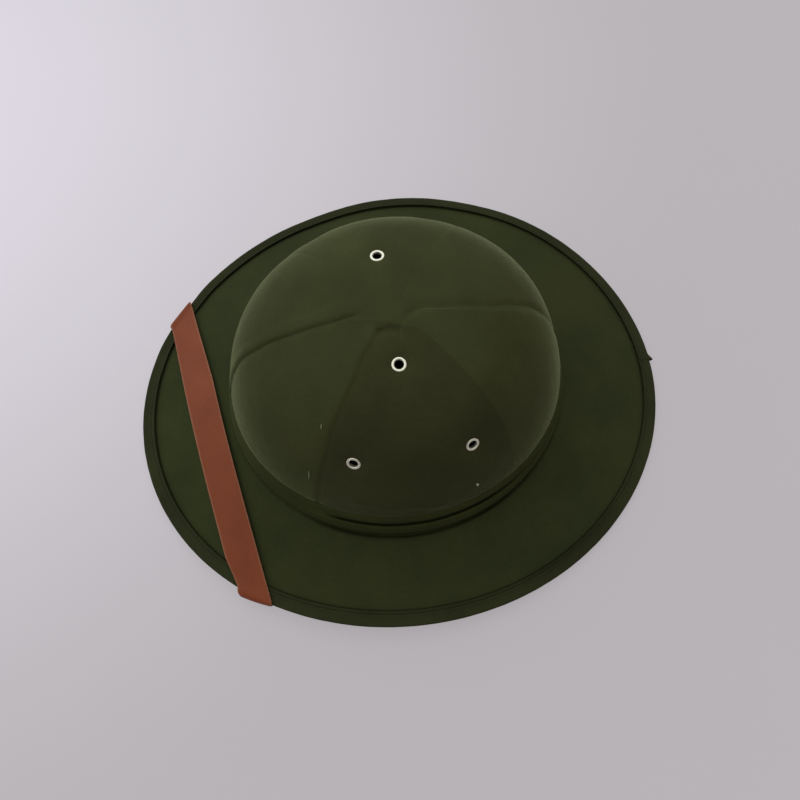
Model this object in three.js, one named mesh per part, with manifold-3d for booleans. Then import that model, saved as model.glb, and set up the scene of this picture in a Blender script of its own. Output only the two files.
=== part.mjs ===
// Cloth-covered sun helmet with six eyelet vents and a chin strap worn up over the brim.
// Millimetres, +Z up, the floor at z = 0. The front is -Y and the wearer's left is +X.
// A turn is an angle about +Z, in radians, counted from the front towards the wearer's left.
import * as THREE from "three";
import { mergeVertices } from "three/addons/utils/BufferGeometryUtils.js";
import Module from "manifold-3d";

const wasm = await Module();
wasm.setup();

// Driving sizes
const GAP = 0.3; // clearance between neighbouring pieces
const RIM = { halfLength: 170, halfWidth: 147.8, sideLift: 7.8, liftPower: 2.4, twist: 3.7 };
const CROWN = { halfLength: 101.2, halfWidth: 93.3, shiftY: -3.2, foot: 27.8, top: 132.7, wall: 2.4 };
const DOME = { plan: 3.16, rise: 1.88, tipRadius: 0.8, rows: 14, rowCrowding: 1.25 };
const WELT = { width: 5, height: 0.8, step: 0.8, mostShare: 0.3, fade: 6 };
const BAND = { height: 26, thickness: 3 };
const BRIM = { wall: 2.2, lip: 4, flare: 0.15, steps: 5 };
const TAPE = { wall: 0.8, width: 7.6, noseShare: 0.72, lapTurn: 179, lapHalf: 2.8, lapRise: 0.9 };
const STRAP = { width: 20.2, thickness: 1.2, chordY: -124.5, skew: 7.4, rampFrom: 6, rampTo: 18 };
const STRAP_END = { x: 98, y: -22, lip: 0.07, seat: 0.8, shares: [0, 0.07, 0.32, 0.56, 0.8, 0.9, 1] };
const STRAP_ROOM = { lift: 1.8, turn: -38, halfTurn: 18, slope: 1.6 };
const STRAP_STEPS = { over: 36, nose: 5, across: 3 };
const RIVET = { fromEnd: 9, headRadius: 3.6, topRadius: 2.9, headHeight: 1.1, postRadius: 1.5, bite: 1.3, sides: 12 };
const EYELET = { flange: 3.9, crest: 3.2, throat: 2.6, bore: 2.1, tube: 2.5, rise: 0.8, inside: 0.9, sides: 12 };
const RING_STEPS = 64;
const PANEL_COLUMNS = 8;

// Seams of the crown, as turns in degrees from the front, the same on both sides
const SEAMS = { front: 0, fore: 52.5, aft: 125.5, back: 180 };

// Panels of one side; bow is how far a panel's middle stands out from an even oval, as a share of its reach
const PANELS = [
  { name: "front", from: SEAMS.front, to: SEAMS.fore, bow: 0.016 },
  { name: "side", from: SEAMS.fore, to: SEAMS.aft, bow: -0.003 },
  { name: "back", from: SEAMS.aft, to: SEAMS.back, bow: 0.014 },
];

// Vents: the turn in degrees, and on each side the share of the way from the crown's top to its foot in plan
const VENTS = [
  { name: "top", turn: 84.5, left: 0.327, right: 0.36 },
  { name: "front", turn: 65, left: 0.81, right: 0.825 },
  { name: "back", turn: 111, left: 0.802, right: 0.82 },
];

// Outer face of the band round the crown's foot, as shares of its thickness and of its height: a roll,
// a crease, then a flat fold that thins out at the top
const BAND_FOLDS = [
  { out: 0.85, up: 0 },
  { out: 1, up: 0.24 },
  { out: 0.94, up: 0.54 },
  { out: 0.6, up: 0.66 },
  { out: 0.76, up: 0.73 },
  { out: 0.66, up: 0.9 },
  { out: 0.45, up: 1 },
];
const BAND_BACK = [1, 0.6, 0]; // heights of its inner face's points, from the top down

// The two sides, and how far the strap's front edge stands off the rim where it folds under there
const SIDES = [
  { name: "left", sign: 1, slack: 3.5 },
  { name: "right", sign: -1, slack: 1.5 },
];

// Cloth, leather and metal finishes
const finish = (color, roughness, metalness = 0) =>
  new THREE.MeshStandardMaterial({ color, roughness, metalness });
const CLOTH = finish(0x3c4229, 0.9);
const BRIM_CLOTH = finish(0x2f3a20, 0.9);
const TAPE_CLOTH = finish(0x333a22, 0.85);
const LEATHER = finish(0x7a4330, 0.6);
const PALE_METAL = finish(0xd8d4ca, 0.35, 0.9);

const { lerp, degToRad, clamp, smoothstep } = THREE.MathUtils;

// Crown

// How far the crown stands out from an even oval at a turn: nothing at a seam, the panel's bow at its middle
function panelBow(turn) {
  const degrees = Math.abs(THREE.MathUtils.radToDeg(Math.atan2(Math.sin(turn), Math.cos(turn))));
  const panel = PANELS.find((p) => degrees <= p.to) ?? PANELS.at(-1);
  const share = (degrees - panel.from) / (panel.to - panel.from);
  return panel.bow * 4 * share * (1 - share);
}

// Climb is the angle up the dome's profile, 0 at the foot and a right angle at the top
const climbOfHeight = (height) => Math.asin((height / (CROWN.top - CROWN.foot)) ** (DOME.rise / 2));
const climbOfReach = (reach) => Math.acos(reach ** (DOME.plan / 2));

// A point of the crown's outer face, moved out along the face's normal
function crownPoint(turn, climb, out) {
  const height = Math.sin(climb) ** (2 / DOME.rise);
  const bowed = 1 + panelBow(turn) * Math.sqrt(Math.sin(climb));
  const reach = Math.cos(climb) ** (2 / DOME.plan);
  const point = new THREE.Vector3(
    CROWN.halfWidth * reach * bowed * Math.sin(turn),
    CROWN.shiftY - CROWN.halfLength * reach * bowed * Math.cos(turn),
    CROWN.foot + (CROWN.top - CROWN.foot) * height,
  );
  return point.addScaledVector(crownNormal(turn, reach, height), out);
}

// Normal of the dome: the slope of its plan and profile powers
function crownNormal(turn, reach, height) {
  const planPart = DOME.plan * reach ** (DOME.plan - 1);
  const risePart = DOME.rise * height ** (DOME.rise - 1);
  return new THREE.Vector3(
    (planPart * Math.sin(turn)) / CROWN.halfWidth,
    (-planPart * Math.cos(turn)) / CROWN.halfLength,
    risePart / (CROWN.top - CROWN.foot),
  ).normalize();
}

// One gore of the crown: a bent box whose last columns are the welt that laps over the next gore
function crownPanel(fromTurn, toTurn) {
  const box = new THREE.BoxGeometry(1, 1, 1, PANEL_COLUMNS, DOME.rows, 1);
  const lastReach = DOME.tipRadius / CROWN.halfWidth;
  const lastClimb = climbOfReach(lastReach);
  return bend(box, (u, v, w) => {
    const climb = lastClimb * (1 - (1 - v) ** DOME.rowCrowding);
    const radius = CROWN.halfWidth * Math.cos(climb) ** (2 / DOME.plan);
    const trim = GAP / 2 / radius;
    const start = fromTurn + trim;
    const end = toTurn - trim;
    const welt = Math.min(WELT.width / (radius * (end - start)), WELT.mostShare);
    const column = PANEL_COLUMNS - Math.round(u * PANEL_COLUMNS);
    const across = 1 - columnShare(column, welt);
    const height = (CROWN.top - CROWN.foot) * Math.sin(climb) ** (2 / DOME.rise);
    const raised = column < 2 ? WELT.height * smoothstep(height, BAND.height, BAND.height + WELT.fade) : 0;
    return crownPoint(lerp(start, end, across), climb, w > 0.5 ? raised : -CROWN.wall);
  });
}

// Columns of a panel, counted from its lapped seam: the welt's flat, its step down, then even columns
function columnShare(column, welt) {
  if (column === 0) return 0;
  if (column === 1) return welt * WELT.step;
  return lerp(welt, 1, (column - 2) / (PANEL_COLUMNS - 2));
}

// The folded band round the crown's foot, as distance out from the crown and height above the foot
function crownBand() {
  const face = BAND_FOLDS.map(({ out, up }) => [out * BAND.thickness, up * BAND.height]);
  const back = BAND_BACK.map((up) => [GAP, up * BAND.height]);
  return ring([...face, ...back], (turn, out, height) => crownPoint(turn, climbOfHeight(height), out));
}

// Brim and its tape

const BRIM_INNER = {
  halfLength: CROWN.halfLength - CROWN.wall,
  halfWidth: CROWN.halfWidth - CROWN.wall,
  shiftY: CROWN.shiftY,
};
const TAPE_PROUD = TAPE.wall + GAP; // how far the tape stands out from the brim on every side
const BRIM_OUTER = {
  halfLength: RIM.halfLength - TAPE_PROUD,
  halfWidth: RIM.halfWidth - TAPE_PROUD,
  shiftY: 0,
};
const LEDGE = CROWN.wall + BAND.thickness + GAP; // flat seat of the crown wall and the band

const onOval = (oval, turn) =>
  new THREE.Vector2(oval.halfWidth * Math.sin(turn), oval.shiftY - oval.halfLength * Math.cos(turn));
const brimSpan = (turn) => onOval(BRIM_INNER, turn).distanceTo(onOval(BRIM_OUTER, turn));

// Smallest angle between a turn and a direction in degrees
function turnFrom(turn, degrees) {
  const off = turn - degToRad(degrees);
  return Math.abs(Math.atan2(Math.sin(off), Math.cos(off)));
}

// The rim lies on the floor at the front and the back, is lifted at the sides and a little twisted,
// and leaves room below it where the strap passes
function rimLift(turn) {
  const side = Math.abs(Math.sin(turn));
  const sides = RIM.sideLift * side ** RIM.liftPower + RIM.twist * Math.sin(2 * turn) * side;
  const off = turnFrom(turn, STRAP_ROOM.turn) / degToRad(STRAP_ROOM.halfTurn);
  return Math.max(0, sides, STRAP_ROOM.lift * clamp(STRAP_ROOM.slope * (1 - off), 0, 1));
}

// Height of the brim's middle surface, a distance out from its inner edge
function brimHeight(turn, out) {
  const high = CROWN.foot - GAP - BRIM.wall / 2;
  const low = rimLift(turn) + TAPE_PROUD + BRIM.wall / 2;
  const share = clamp((out - LEDGE) / (brimSpan(turn) - BRIM.lip - LEDGE), 0, 1);
  return lerp(high, low, share + BRIM.flare * share * (1 - share));
}

function brimMiddle(turn, out) {
  const share = out / brimSpan(turn);
  const plan = new THREE.Vector2().lerpVectors(onOval(BRIM_INNER, turn), onOval(BRIM_OUTER, turn), share);
  return new THREE.Vector3(plan.x, plan.y, brimHeight(turn, out));
}

// The brim's section has a ledge, a slope and a lip: stretch counts 0 to 1, 1 to 2 and 2 to 3 along them
function brim() {
  const slope = Array.from({ length: BRIM.steps }, (_, i) => 1 + i / BRIM.steps);
  const stretches = [0, ...slope, 2, 3];
  const section = [...stretches.map((s) => [s, -1]), ...stretches.toReversed().map((s) => [s, 1])];
  return ring(section, (turn, stretch, side) => {
    const slopeEnd = brimSpan(turn) - BRIM.lip;
    const ledge = LEDGE * Math.min(stretch, 1);
    const sloped = (slopeEnd - LEDGE) * clamp(stretch - 1, 0, 1);
    const lip = BRIM.lip * Math.max(stretch - 2, 0);
    const point = brimMiddle(turn, ledge + sloped + lip);
    point.z += (side * BRIM.wall) / 2;
    return point;
  });
}

// Where the tape's folded end laps over its start, it stands a little further out
const lapRise = (turn) => (turnFrom(turn, TAPE.lapTurn) < degToRad(TAPE.lapHalf) ? TAPE.lapRise : 0);

// The tape folded over the rim: a U section, as distance in from the brim's edge and height from its middle
function edgeTape() {
  const inside = BRIM.wall / 2 + GAP;
  const outside = inside + TAPE.wall;
  const section = [
    [GAP, inside],
    [-BRIM.lip, inside],
    [-TAPE.width, inside],
    [-TAPE.width, outside],
    [-BRIM.lip, outside],
    [0, outside],
    [TAPE.noseShare * TAPE_PROUD, TAPE.noseShare * outside],
    [TAPE_PROUD, 0],
    [TAPE.noseShare * TAPE_PROUD, -TAPE.noseShare * outside],
    [0, -outside],
    [-BRIM.lip, -outside],
    [-TAPE.width, -outside],
    [-TAPE.width, -inside],
    [-BRIM.lip, -inside],
    [GAP, -inside],
  ];
  return ring(section.toReversed(), (turn, beyond, height) => {
    const lap = beyond > GAP ? lapRise(turn) : 0;
    const point = brimMiddle(turn, brimSpan(turn) + beyond + lap);
    point.z += height;
    return point;
  });
}

// Chin strap

// The turn and the distance out from the brim's inner edge, at a place seen from above
function brimPlace(x, y) {
  let near = 0;
  let far = 2;
  let turn = 0;
  for (let i = 0; i < 40; i++) {
    const share = (near + far) / 2;
    const wide = x / lerp(BRIM_INNER.halfWidth, BRIM_OUTER.halfWidth, share);
    const long = (y - lerp(BRIM_INNER.shiftY, 0, share)) / lerp(BRIM_INNER.halfLength, BRIM_OUTER.halfLength, share);
    turn = Math.atan2(wide, -long);
    if (Math.hypot(wide, long) > 1) near = share;
    else far = share;
  }
  return { turn, out: near * brimSpan(turn) };
}

const STRAP_OVER_BRIM = BRIM.wall / 2 + GAP + STRAP.thickness / 2;
const STRAP_OVER_TAPE = STRAP_OVER_BRIM + TAPE_PROUD;

// Middle of the strap above or below a place on the brim, clear of the tape near the rim
function strapOnBrim(x, y, side) {
  const { turn, out } = brimPlace(x, y);
  const inward = brimSpan(turn) - out;
  const overTape = 1 - smoothstep(inward, TAPE.width + STRAP.rampFrom, TAPE.width + STRAP.rampTo);
  const rise = lerp(STRAP_OVER_BRIM, STRAP_OVER_TAPE, overTape);
  return new THREE.Vector3(x, y, brimHeight(turn, out) + side * rise);
}

// Lengthwise fibres of the strap, seen from above: the way they run, and where one meets the rim on a side
const STRAP_WAY = new THREE.Vector2(1, 0).rotateAround(new THREE.Vector2(), degToRad(STRAP.skew));
const fibreStart = (across) => new THREE.Vector2(-STRAP_WAY.y * across, STRAP.chordY + STRAP_WAY.x * across);

function fibreRim(across, sign) {
  const squash = new THREE.Vector2(1 / BRIM_OUTER.halfWidth, 1 / BRIM_OUTER.halfLength);
  const from = fibreStart(across).multiply(squash);
  const way = STRAP_WAY.clone().multiply(squash);
  const middle = from.dot(way) / way.lengthSq();
  const reach = Math.sqrt(middle ** 2 + (1 - from.lengthSq()) / way.lengthSq());
  return fibreStart(across).addScaledVector(STRAP_WAY, sign * reach - middle);
}

// Over the brim: from the rim on one side, at share 0, to the rim on the other, at share 1
function strapOver(across, share) {
  const plan = fibreRim(across, -1).lerp(fibreRim(across, 1), share);
  return { point: strapOnBrim(plan.x, plan.y, 1), outward: new THREE.Vector3(0, 0, 1) };
}

// Round the rim: share 0 is on top of the tape, share 1 under it
function strapNose(across, { sign, slack }, share) {
  const rim = fibreRim(across, sign);
  const { turn } = brimPlace(rim.x, rim.y);
  const lead = new THREE.Vector2(rim.x / BRIM_OUTER.halfWidth ** 2, rim.y / BRIM_OUTER.halfLength ** 2);
  const outward = new THREE.Vector3(0, 0, Math.cos(Math.PI * share));
  const lean = lead.normalize().multiplyScalar(Math.sin(Math.PI * share));
  outward.x = lean.x;
  outward.y = lean.y;
  const point = brimMiddle(turn, brimSpan(turn)).addScaledVector(outward, STRAP_OVER_TAPE);
  const off = slack * (0.5 - across / STRAP.width) * Math.sin(Math.PI * share);
  point.x += sign * STRAP_WAY.x * off;
  point.y += sign * STRAP_WAY.y * off;
  return { point, outward };
}

// Under the brim: straight from the rim's lip to the strap's end, which lies along the brim
function strapUnder(across, { sign }, share) {
  const rim = fibreRim(across, sign);
  const along = (s) =>
    strapOnBrim(lerp(rim.x, sign * (STRAP_END.x + across), s), lerp(rim.y, STRAP_END.y, s), -1);
  const point = along(share);
  const straight = clamp((share - STRAP_END.lip) / (STRAP_END.seat - STRAP_END.lip), 0, 1);
  if (straight < 1) point.z = lerp(along(0).z, along(STRAP_END.seat).z, straight);
  return { point, outward: new THREE.Vector3(0, 0, -1) };
}

// The whole strap as a list of sections from its right end to its left one
const underRun = (side) => STRAP_END.shares.map((share) => (across) => strapUnder(across, side, share));
const noseRun = (side) =>
  Array.from({ length: STRAP_STEPS.nose - 1 }, (_, i) => (across) =>
    strapNose(across, side, (i + 1) / STRAP_STEPS.nose),
  );
const overRun = Array.from({ length: STRAP_STEPS.over + 1 }, (_, i) => (across) =>
  strapOver(across, i / STRAP_STEPS.over),
);
const [LEFT, RIGHT] = SIDES;
const STRAP_SECTIONS = [
  ...underRun(RIGHT).toReversed(),
  ...noseRun(RIGHT).toReversed(),
  ...overRun,
  ...noseRun(LEFT),
  ...underRun(LEFT),
];

function chinStrap() {
  const steps = STRAP_SECTIONS.length - 1;
  const box = new THREE.BoxGeometry(1, 1, 1, steps, STRAP_STEPS.across, 1);
  return bend(box, (u, v, w) => {
    const { point, outward } = STRAP_SECTIONS[Math.round(u * steps)]((v - 0.5) * STRAP.width);
    return point.addScaledVector(outward, (w - 0.5) * STRAP.thickness);
  });
}

// Seat of a rivet: a point on the brim's underside, and the way its head faces
function rivetSeat(sign) {
  const x = sign * STRAP_END.x;
  const y = STRAP_END.y - RIVET.fromEnd;
  const under = (px, py) => {
    const { turn, out } = brimPlace(px, py);
    return new THREE.Vector3(px, py, brimHeight(turn, out) - BRIM.wall / 2);
  };
  const seat = under(x, y);
  const alongX = under(x + 1, y).sub(seat);
  const alongY = under(x, y + 1).sub(seat);
  return { seat, facing: alongY.cross(alongX).normalize() };
}

// A flat-headed pin, its foot bitten into the brim and its head under the strap's end
function rivet() {
  const head = GAP + STRAP.thickness + GAP;
  const profile = [
    [0, -RIVET.bite],
    [RIVET.postRadius, -RIVET.bite],
    [RIVET.postRadius, head],
    [RIVET.headRadius, head],
    [RIVET.topRadius, head + RIVET.headHeight],
    [0, head + RIVET.headHeight],
  ];
  return turned(profile, RIVET.sides);
}

// Vents

// A rolled eyelet: a tube through the crown's wall with a rounded flange on the outside
function eyelet() {
  const foot = -CROWN.wall - EYELET.inside;
  const profile = [
    [EYELET.bore, foot],
    [EYELET.tube, foot],
    [EYELET.tube, GAP],
    [EYELET.flange, GAP],
    [EYELET.flange, EYELET.rise / 2],
    [EYELET.crest, EYELET.rise],
    [EYELET.throat, EYELET.rise],
    [EYELET.bore, GAP],
    [EYELET.bore, foot],
  ];
  return turned(profile, EYELET.sides);
}

function ventSeat(vent, side) {
  const turn = side.sign * degToRad(vent.turn);
  const climb = climbOfReach(vent[side.name]);
  const seat = crownPoint(turn, climb, 0);
  const facing = crownPoint(turn, climb, 1).sub(seat);
  return { seat, facing };
}

// Shape helpers

// Moves each vertex of a unit box, read as shares from 0 to 1 along its three sides
function bend(box, place) {
  const at = box.attributes.position;
  for (let i = 0; i < at.count; i++) {
    const spot = place(at.getX(i) + 0.5, at.getY(i) + 0.5, at.getZ(i) + 0.5);
    at.setXYZ(i, spot.x, spot.y, spot.z);
  }
  return sealed(box);
}

// A closed section carried round the hat: place puts the section's point (p, q) in space at a turn
function ring(section, place) {
  const hub = 1 - Math.min(...section.map(([p]) => p));
  const loop = [...section, section[0]].map(([p, q]) => new THREE.Vector2(hub + p, q));
  const lathe = new THREE.LatheGeometry(loop, RING_STEPS);
  const at = lathe.attributes.position;
  for (let i = 0; i < at.count; i++) {
    const turn = Math.atan2(at.getX(i), at.getZ(i));
    const spot = place(turn, Math.hypot(at.getX(i), at.getZ(i)) - hub, at.getY(i));
    at.setXYZ(i, spot.x, spot.y, spot.z);
  }
  return sealed(lathe);
}

// A turned piece that stands along +Z
function turned(profile, sides) {
  const lathe = new THREE.LatheGeometry(profile.map(([r, h]) => new THREE.Vector2(r, h)), sides);
  return sealed(lathe.rotateX(Math.PI / 2));
}

// A closed surface needs its shared vertices merged, so only positions are kept
function sealed(geometry) {
  geometry.deleteAttribute("normal");
  geometry.deleteAttribute("uv");
  const merged = mergeVertices(geometry);
  merged.computeVertexNormals();
  return merged;
}

// Places a turned piece at a seat, with its own +Z along the way the seat faces
function seated(object, { seat, facing }) {
  object.position.copy(seat);
  object.quaternion.setFromUnitVectors(new THREE.Vector3(0, 0, 1), facing);
  object.updateMatrix();
  return object;
}

// A round drill at a seat, as geometry in the part's own frame
function drill(place, radius, low, high) {
  const geometry = turned([[0, low], [radius, low], [radius, high], [0, high]], EYELET.sides);
  return geometry.applyMatrix4(seated(new THREE.Object3D(), place).matrix);
}

function toSolid(geometry) {
  const bare = new THREE.BufferGeometry();
  bare.setAttribute("position", geometry.getAttribute("position"));
  bare.setIndex(geometry.index);
  const merged = mergeVertices(bare);
  return new wasm.Manifold(
    new wasm.Mesh({
      numProp: 3,
      vertProperties: new Float32Array(merged.attributes.position.array),
      triVerts: new Uint32Array(merged.index.array),
    }),
  );
}

function drilled(geometry, drills) {
  const left = drills.reduce((solid, tool) => solid.subtract(toSolid(tool)), toSolid(geometry));
  const mesh = left.getMesh();
  const result = new THREE.BufferGeometry();
  result.setAttribute("position", new THREE.BufferAttribute(mesh.vertProperties, 3));
  result.setIndex(new THREE.BufferAttribute(mesh.triVerts, 1));
  result.computeVertexNormals();
  return result;
}

// Assembly

const helmet = new THREE.Group();

function add(name, geometry, material) {
  const mesh = new THREE.Mesh(geometry, material);
  mesh.name = name;
  helmet.add(mesh);
  return mesh;
}

const crownReach = CROWN.wall + EYELET.flange;
for (const side of SIDES) {
  for (const panel of PANELS) {
    const ends = [panel.from, panel.to].map((degrees) => side.sign * degToRad(degrees));
    let geometry = crownPanel(Math.min(...ends), Math.max(...ends));
    if (panel.name === "side") {
      const holes = VENTS.map((vent) =>
        drill(ventSeat(vent, side), EYELET.tube + GAP, -crownReach, crownReach),
      );
      geometry = drilled(geometry, holes);
    }
    add(`crown_panel_${panel.name}_${side.name}`, geometry, CLOTH);
  }
  for (const vent of VENTS) {
    seated(add(`vent_${vent.name}_${side.name}`, eyelet(), PALE_METAL), ventSeat(vent, side));
  }
}

add("crown_band", crownBand(), CLOTH);

const rivetSeats = SIDES.map((side) => rivetSeat(side.sign));
const holeRadius = RIVET.postRadius + GAP;
const strapDepth = STRAP.thickness + 2 * GAP;
const brimHoles = rivetSeats.map((place) => drill(place, holeRadius, -RIVET.bite - GAP, strapDepth));
const strapHoles = rivetSeats.map((place) => drill(place, holeRadius, -GAP, 2 * strapDepth));

add("brim", drilled(brim(), brimHoles), BRIM_CLOTH);
add("edge_tape", edgeTape(), TAPE_CLOTH);
add("chin_strap", drilled(chinStrap(), strapHoles), LEATHER);
SIDES.forEach((side, i) => {
  seated(add(`strap_rivet_${side.name}`, rivet(), PALE_METAL), rivetSeats[i]);
});

export default helmet;
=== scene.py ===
"""Dresses a cloth-covered sun helmet: a six-gore crown, a wound band, a taped brim, vents and a chin strap.

Metres, +Z up, the floor at z = 0. The front is -Y and the wearer's left is +X. A turn is an angle about
+Z, counted from the front towards the wearer's left.
"""

import bisect
import math

import bmesh
import bpy
from bpy.props import FloatProperty, FloatVectorProperty, PointerProperty
from mathutils import Matrix, Vector, noise
from mathutils.geometry import intersect_point_line


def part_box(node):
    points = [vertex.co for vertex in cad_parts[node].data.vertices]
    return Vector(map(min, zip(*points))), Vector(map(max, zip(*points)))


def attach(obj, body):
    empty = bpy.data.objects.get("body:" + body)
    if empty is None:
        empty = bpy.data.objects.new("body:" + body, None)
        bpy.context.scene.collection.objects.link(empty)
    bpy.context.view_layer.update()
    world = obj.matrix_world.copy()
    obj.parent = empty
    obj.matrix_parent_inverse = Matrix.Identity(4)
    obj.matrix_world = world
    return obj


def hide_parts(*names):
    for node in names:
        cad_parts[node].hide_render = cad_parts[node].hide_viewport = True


bl_info = {
    "name": "Sun Helmet",
    "version": (1, 0, 0),
    "blender": (4, 5, 0),
    "location": "View3D > Sidebar > Sun Helmet",
    "description": "Builds a cloth-covered sun helmet with a wound band, a taped brim, vents and a strap",
    "category": "Object",
}

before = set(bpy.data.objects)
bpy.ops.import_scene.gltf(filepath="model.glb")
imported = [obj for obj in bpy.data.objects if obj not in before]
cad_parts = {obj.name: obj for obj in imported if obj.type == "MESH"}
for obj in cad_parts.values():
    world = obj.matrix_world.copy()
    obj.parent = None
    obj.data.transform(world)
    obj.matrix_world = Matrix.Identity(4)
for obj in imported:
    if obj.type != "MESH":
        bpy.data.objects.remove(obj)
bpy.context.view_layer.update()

# Corners of the solids that the driving sizes are read from
BRIM_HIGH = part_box("brim")[1]
FRONT_LOW, FRONT_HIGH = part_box("crown_panel_front_right")
BACK_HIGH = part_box("crown_panel_back_right")[1]
SIDE_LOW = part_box("crown_panel_side_right")[0]

FULL_TURN = 2 * math.pi
RIGHT_ANGLE = math.pi / 2
GAP = 0.0003  # clearance that the solids keep between neighbours
SOLID_WELT = 0.0008  # how far a seam stands up on the solids
SOLID_TAPE = 0.0008  # thickness of the tape's solid
HUG = 0.00005  # how far a cover lies off what it covers
SHADED_SHARP = math.radians(48)  # edges that turn further are shaded as corners
BEVELLED = math.radians(60)  # edges that turn further are rounded
MERGE = 1e-6  # vertices nearer than this are one
SHEET_DIGITS = 6  # digits to which places on a flat sheet are compared
NUDGE = 0.001  # small step along a surface, to find the way it faces
NUDGE_TURN = 0.01
SIDES = {"left": 1, "right": -1}

# Vents: the turn in degrees, and on each side the share of the way from the crown's top to its foot in plan
VENTS = (
    {"name": "top", "turn": 84.5, "left": 0.327, "right": 0.36},
    {"name": "front", "turn": 65.0, "left": 0.81, "right": 0.825},
    {"name": "back", "turn": 111.0, "left": 0.802, "right": 0.82},
)

# Creases in the crown's cloth, from one place to another; a ridge has a depth below zero
CREASES = (
    {"name": "hub tuck", "start": (0.0106, -0.0122, 0.1327), "end": (0.0116, -0.0050, 0.1327),
     "width": 0.0026, "depth": 0.0017},
    {"name": "hub nick", "start": (0.0105, -0.0027, 0.1327), "end": (0.0158, -0.0036, 0.1325),
     "width": 0.0007, "depth": 0.0006},
    {"name": "hub ridge", "start": (0.0019, -0.0299, 0.1318), "end": (0.0055, -0.0141, 0.1326),
     "width": 0.0010, "depth": -0.0003},
    {"name": "upper pucker", "start": (0.0809, -0.0396, 0.0680), "end": (0.0884, -0.0040, 0.0650),
     "width": 0.0016, "depth": -0.00035},
    {"name": "lower pucker", "start": (0.0860, -0.0250, 0.0640), "end": (0.0893, 0.0080, 0.0600),
     "width": 0.0015, "depth": -0.0003},
)

# Seams of the crown: how strongly each shows, from 0 where it is pressed flat to 1 for a full fold, how much
# of its welt stands up, how wide the cloth turns down before and after it, and its distance from the crown's
# middle where it begins to show
PLAIN_SEAM = {"stands": 1.0, "before": 0.0012, "after": 0.0024, "from_hub": 0.012}
SEAMS = {
    "front": {**PLAIN_SEAM, "shows": 1.0, "from_hub": 0.024},
    "fore_left": {**PLAIN_SEAM, "shows": 0.6},
    "fore_right": {**PLAIN_SEAM, "shows": 0.15},
    "aft_left": {**PLAIN_SEAM, "shows": 0.12},
    "aft_right": {**PLAIN_SEAM, "shows": 0.15},
    "back": {"shows": 1.2, "stands": 0.2, "before": 0.0036, "after": 0.0019, "from_hub": 0.009},
}

# How far the seams that show sway off their turn, towards a larger turn, at a share of the way out from the
# crown's middle to its foot
SEAM_SWAY = {
    "front": (
        (0.15, 0.0), (0.35, 0.0018), (0.52, 0.0020), (0.70, 0.0003), (0.87, -0.0030), (1.0, -0.0036),
    ),
    "fore_left": (
        (0.0, -0.0012), (0.30, -0.0008), (0.46, 0.0012), (0.70, 0.0018), (0.82, 0.0028), (1.0, 0.0028),
    ),
    "back": (
        (0.05, 0.0), (0.23, -0.0034), (0.50, -0.0046), (0.62, -0.0030), (0.75, -0.0008), (1.0, 0.0010),
    ),
}
SWAY_HALF_TURN = math.radians(9)  # how far to either side of a seam the cloth goes with it

# Places where the rim is drawn in from an even oval: the turn and half the width in degrees, and the depth
RIM_DENTS = (
    {"name": "under the strap", "turn": -37, "half_turn": 8, "depth": 0.0020},
    {"name": "right front", "turn": -60, "half_turn": 16, "depth": 0.0007},
    {"name": "right side", "turn": -78, "half_turn": 9, "depth": 0.0010},
    {"name": "right back", "turn": -115, "half_turn": 9, "depth": 0.0008},
)
DENTS_FROM = 0.6  # share of the way out from which the brim follows the rim's dents

# How crisply the band is folded at a turn in degrees: pressed smooth at the front, sharp at the wearer's left
BAND_CRISP = (
    (-180, 0.45), (-60, 0.45), (0, 0.1), (45, 0.15), (66, 1.0), (106, 1.0), (140, 0.5), (180, 0.45),
)

# The folded band in section, from the brim up: distance out as a share of its thickness, and height as a
# share of its own. A roll hangs over the brim, and a groove parts it from the upper fold.
BAND_SECTION = (
    (0.10, 0.000), (0.17, 0.070), (0.55, 0.125), (0.90, 0.190), (1.08, 0.270), (1.10, 0.390),
    (1.05, 0.510), (0.90, 0.605), (0.64, 0.630), (0.42, 0.615), (0.24, 0.590), (0.12, 0.600),
    (0.14, 0.680), (0.26, 0.755), (0.40, 0.820), (0.43, 0.880), (0.28, 0.950), (0.05, 1.000),
)

# Short bits of pale thread on the crown, from one place to another. The two on the seam are painted
# highlights where its ridge catches the light; the speck is a pale nub of thread on the cloth
THREADS_AND_PAINTED_GLINTS = (
    {"name": "upper seam", "start": (0.0491, -0.0495, 0.1143), "end": (0.0515, -0.0501, 0.1120),
     "width": 0.00025},
    {"name": "lower seam", "start": (0.0638, -0.0605, 0.0864), "end": (0.0669, -0.0619, 0.0779),
     "width": 0.00025},
    {"name": "speck", "start": (0.0820, 0.0268, 0.0706), "end": (0.0827, 0.0281, 0.0695),
     "width": 0.0018},
)


# Settings

def hex_to_linear(code):
    """Turns an sRGB hex colour into linear RGBA."""
    shares = [int(code[i:i + 2], 16) / 255 for i in (1, 3, 5)]
    return [s / 12.92 if s <= 0.04045 else ((s + 0.055) / 1.055) ** 2.4 for s in shares] + [1.0]


def length(name, description, default):
    """A size in metres."""
    return FloatProperty(name=name, description=description, default=default, unit="LENGTH", precision=5)


def angle(name, description, degrees):
    """An angle, given in degrees."""
    return FloatProperty(name=name, description=description, default=math.radians(degrees), unit="ROTATION")


def share(name, description, default):
    """A plain ratio."""
    return FloatProperty(name=name, description=description, default=default, precision=4)


def colour(name, description, code):
    """A colour, given as sRGB hex."""
    return FloatVectorProperty(name=name, description=description, default=hex_to_linear(code), size=4,
                               subtype="COLOR", min=0, max=1)


def place(name, description, default):
    """A place or a shift in metres."""
    return FloatVectorProperty(name=name, description=description, default=default, size=len(default),
                               unit="LENGTH", precision=4)


def way(name, description, default):
    """A way to look or to shine."""
    return FloatVectorProperty(name=name, description=description, default=default, size=3)


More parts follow.
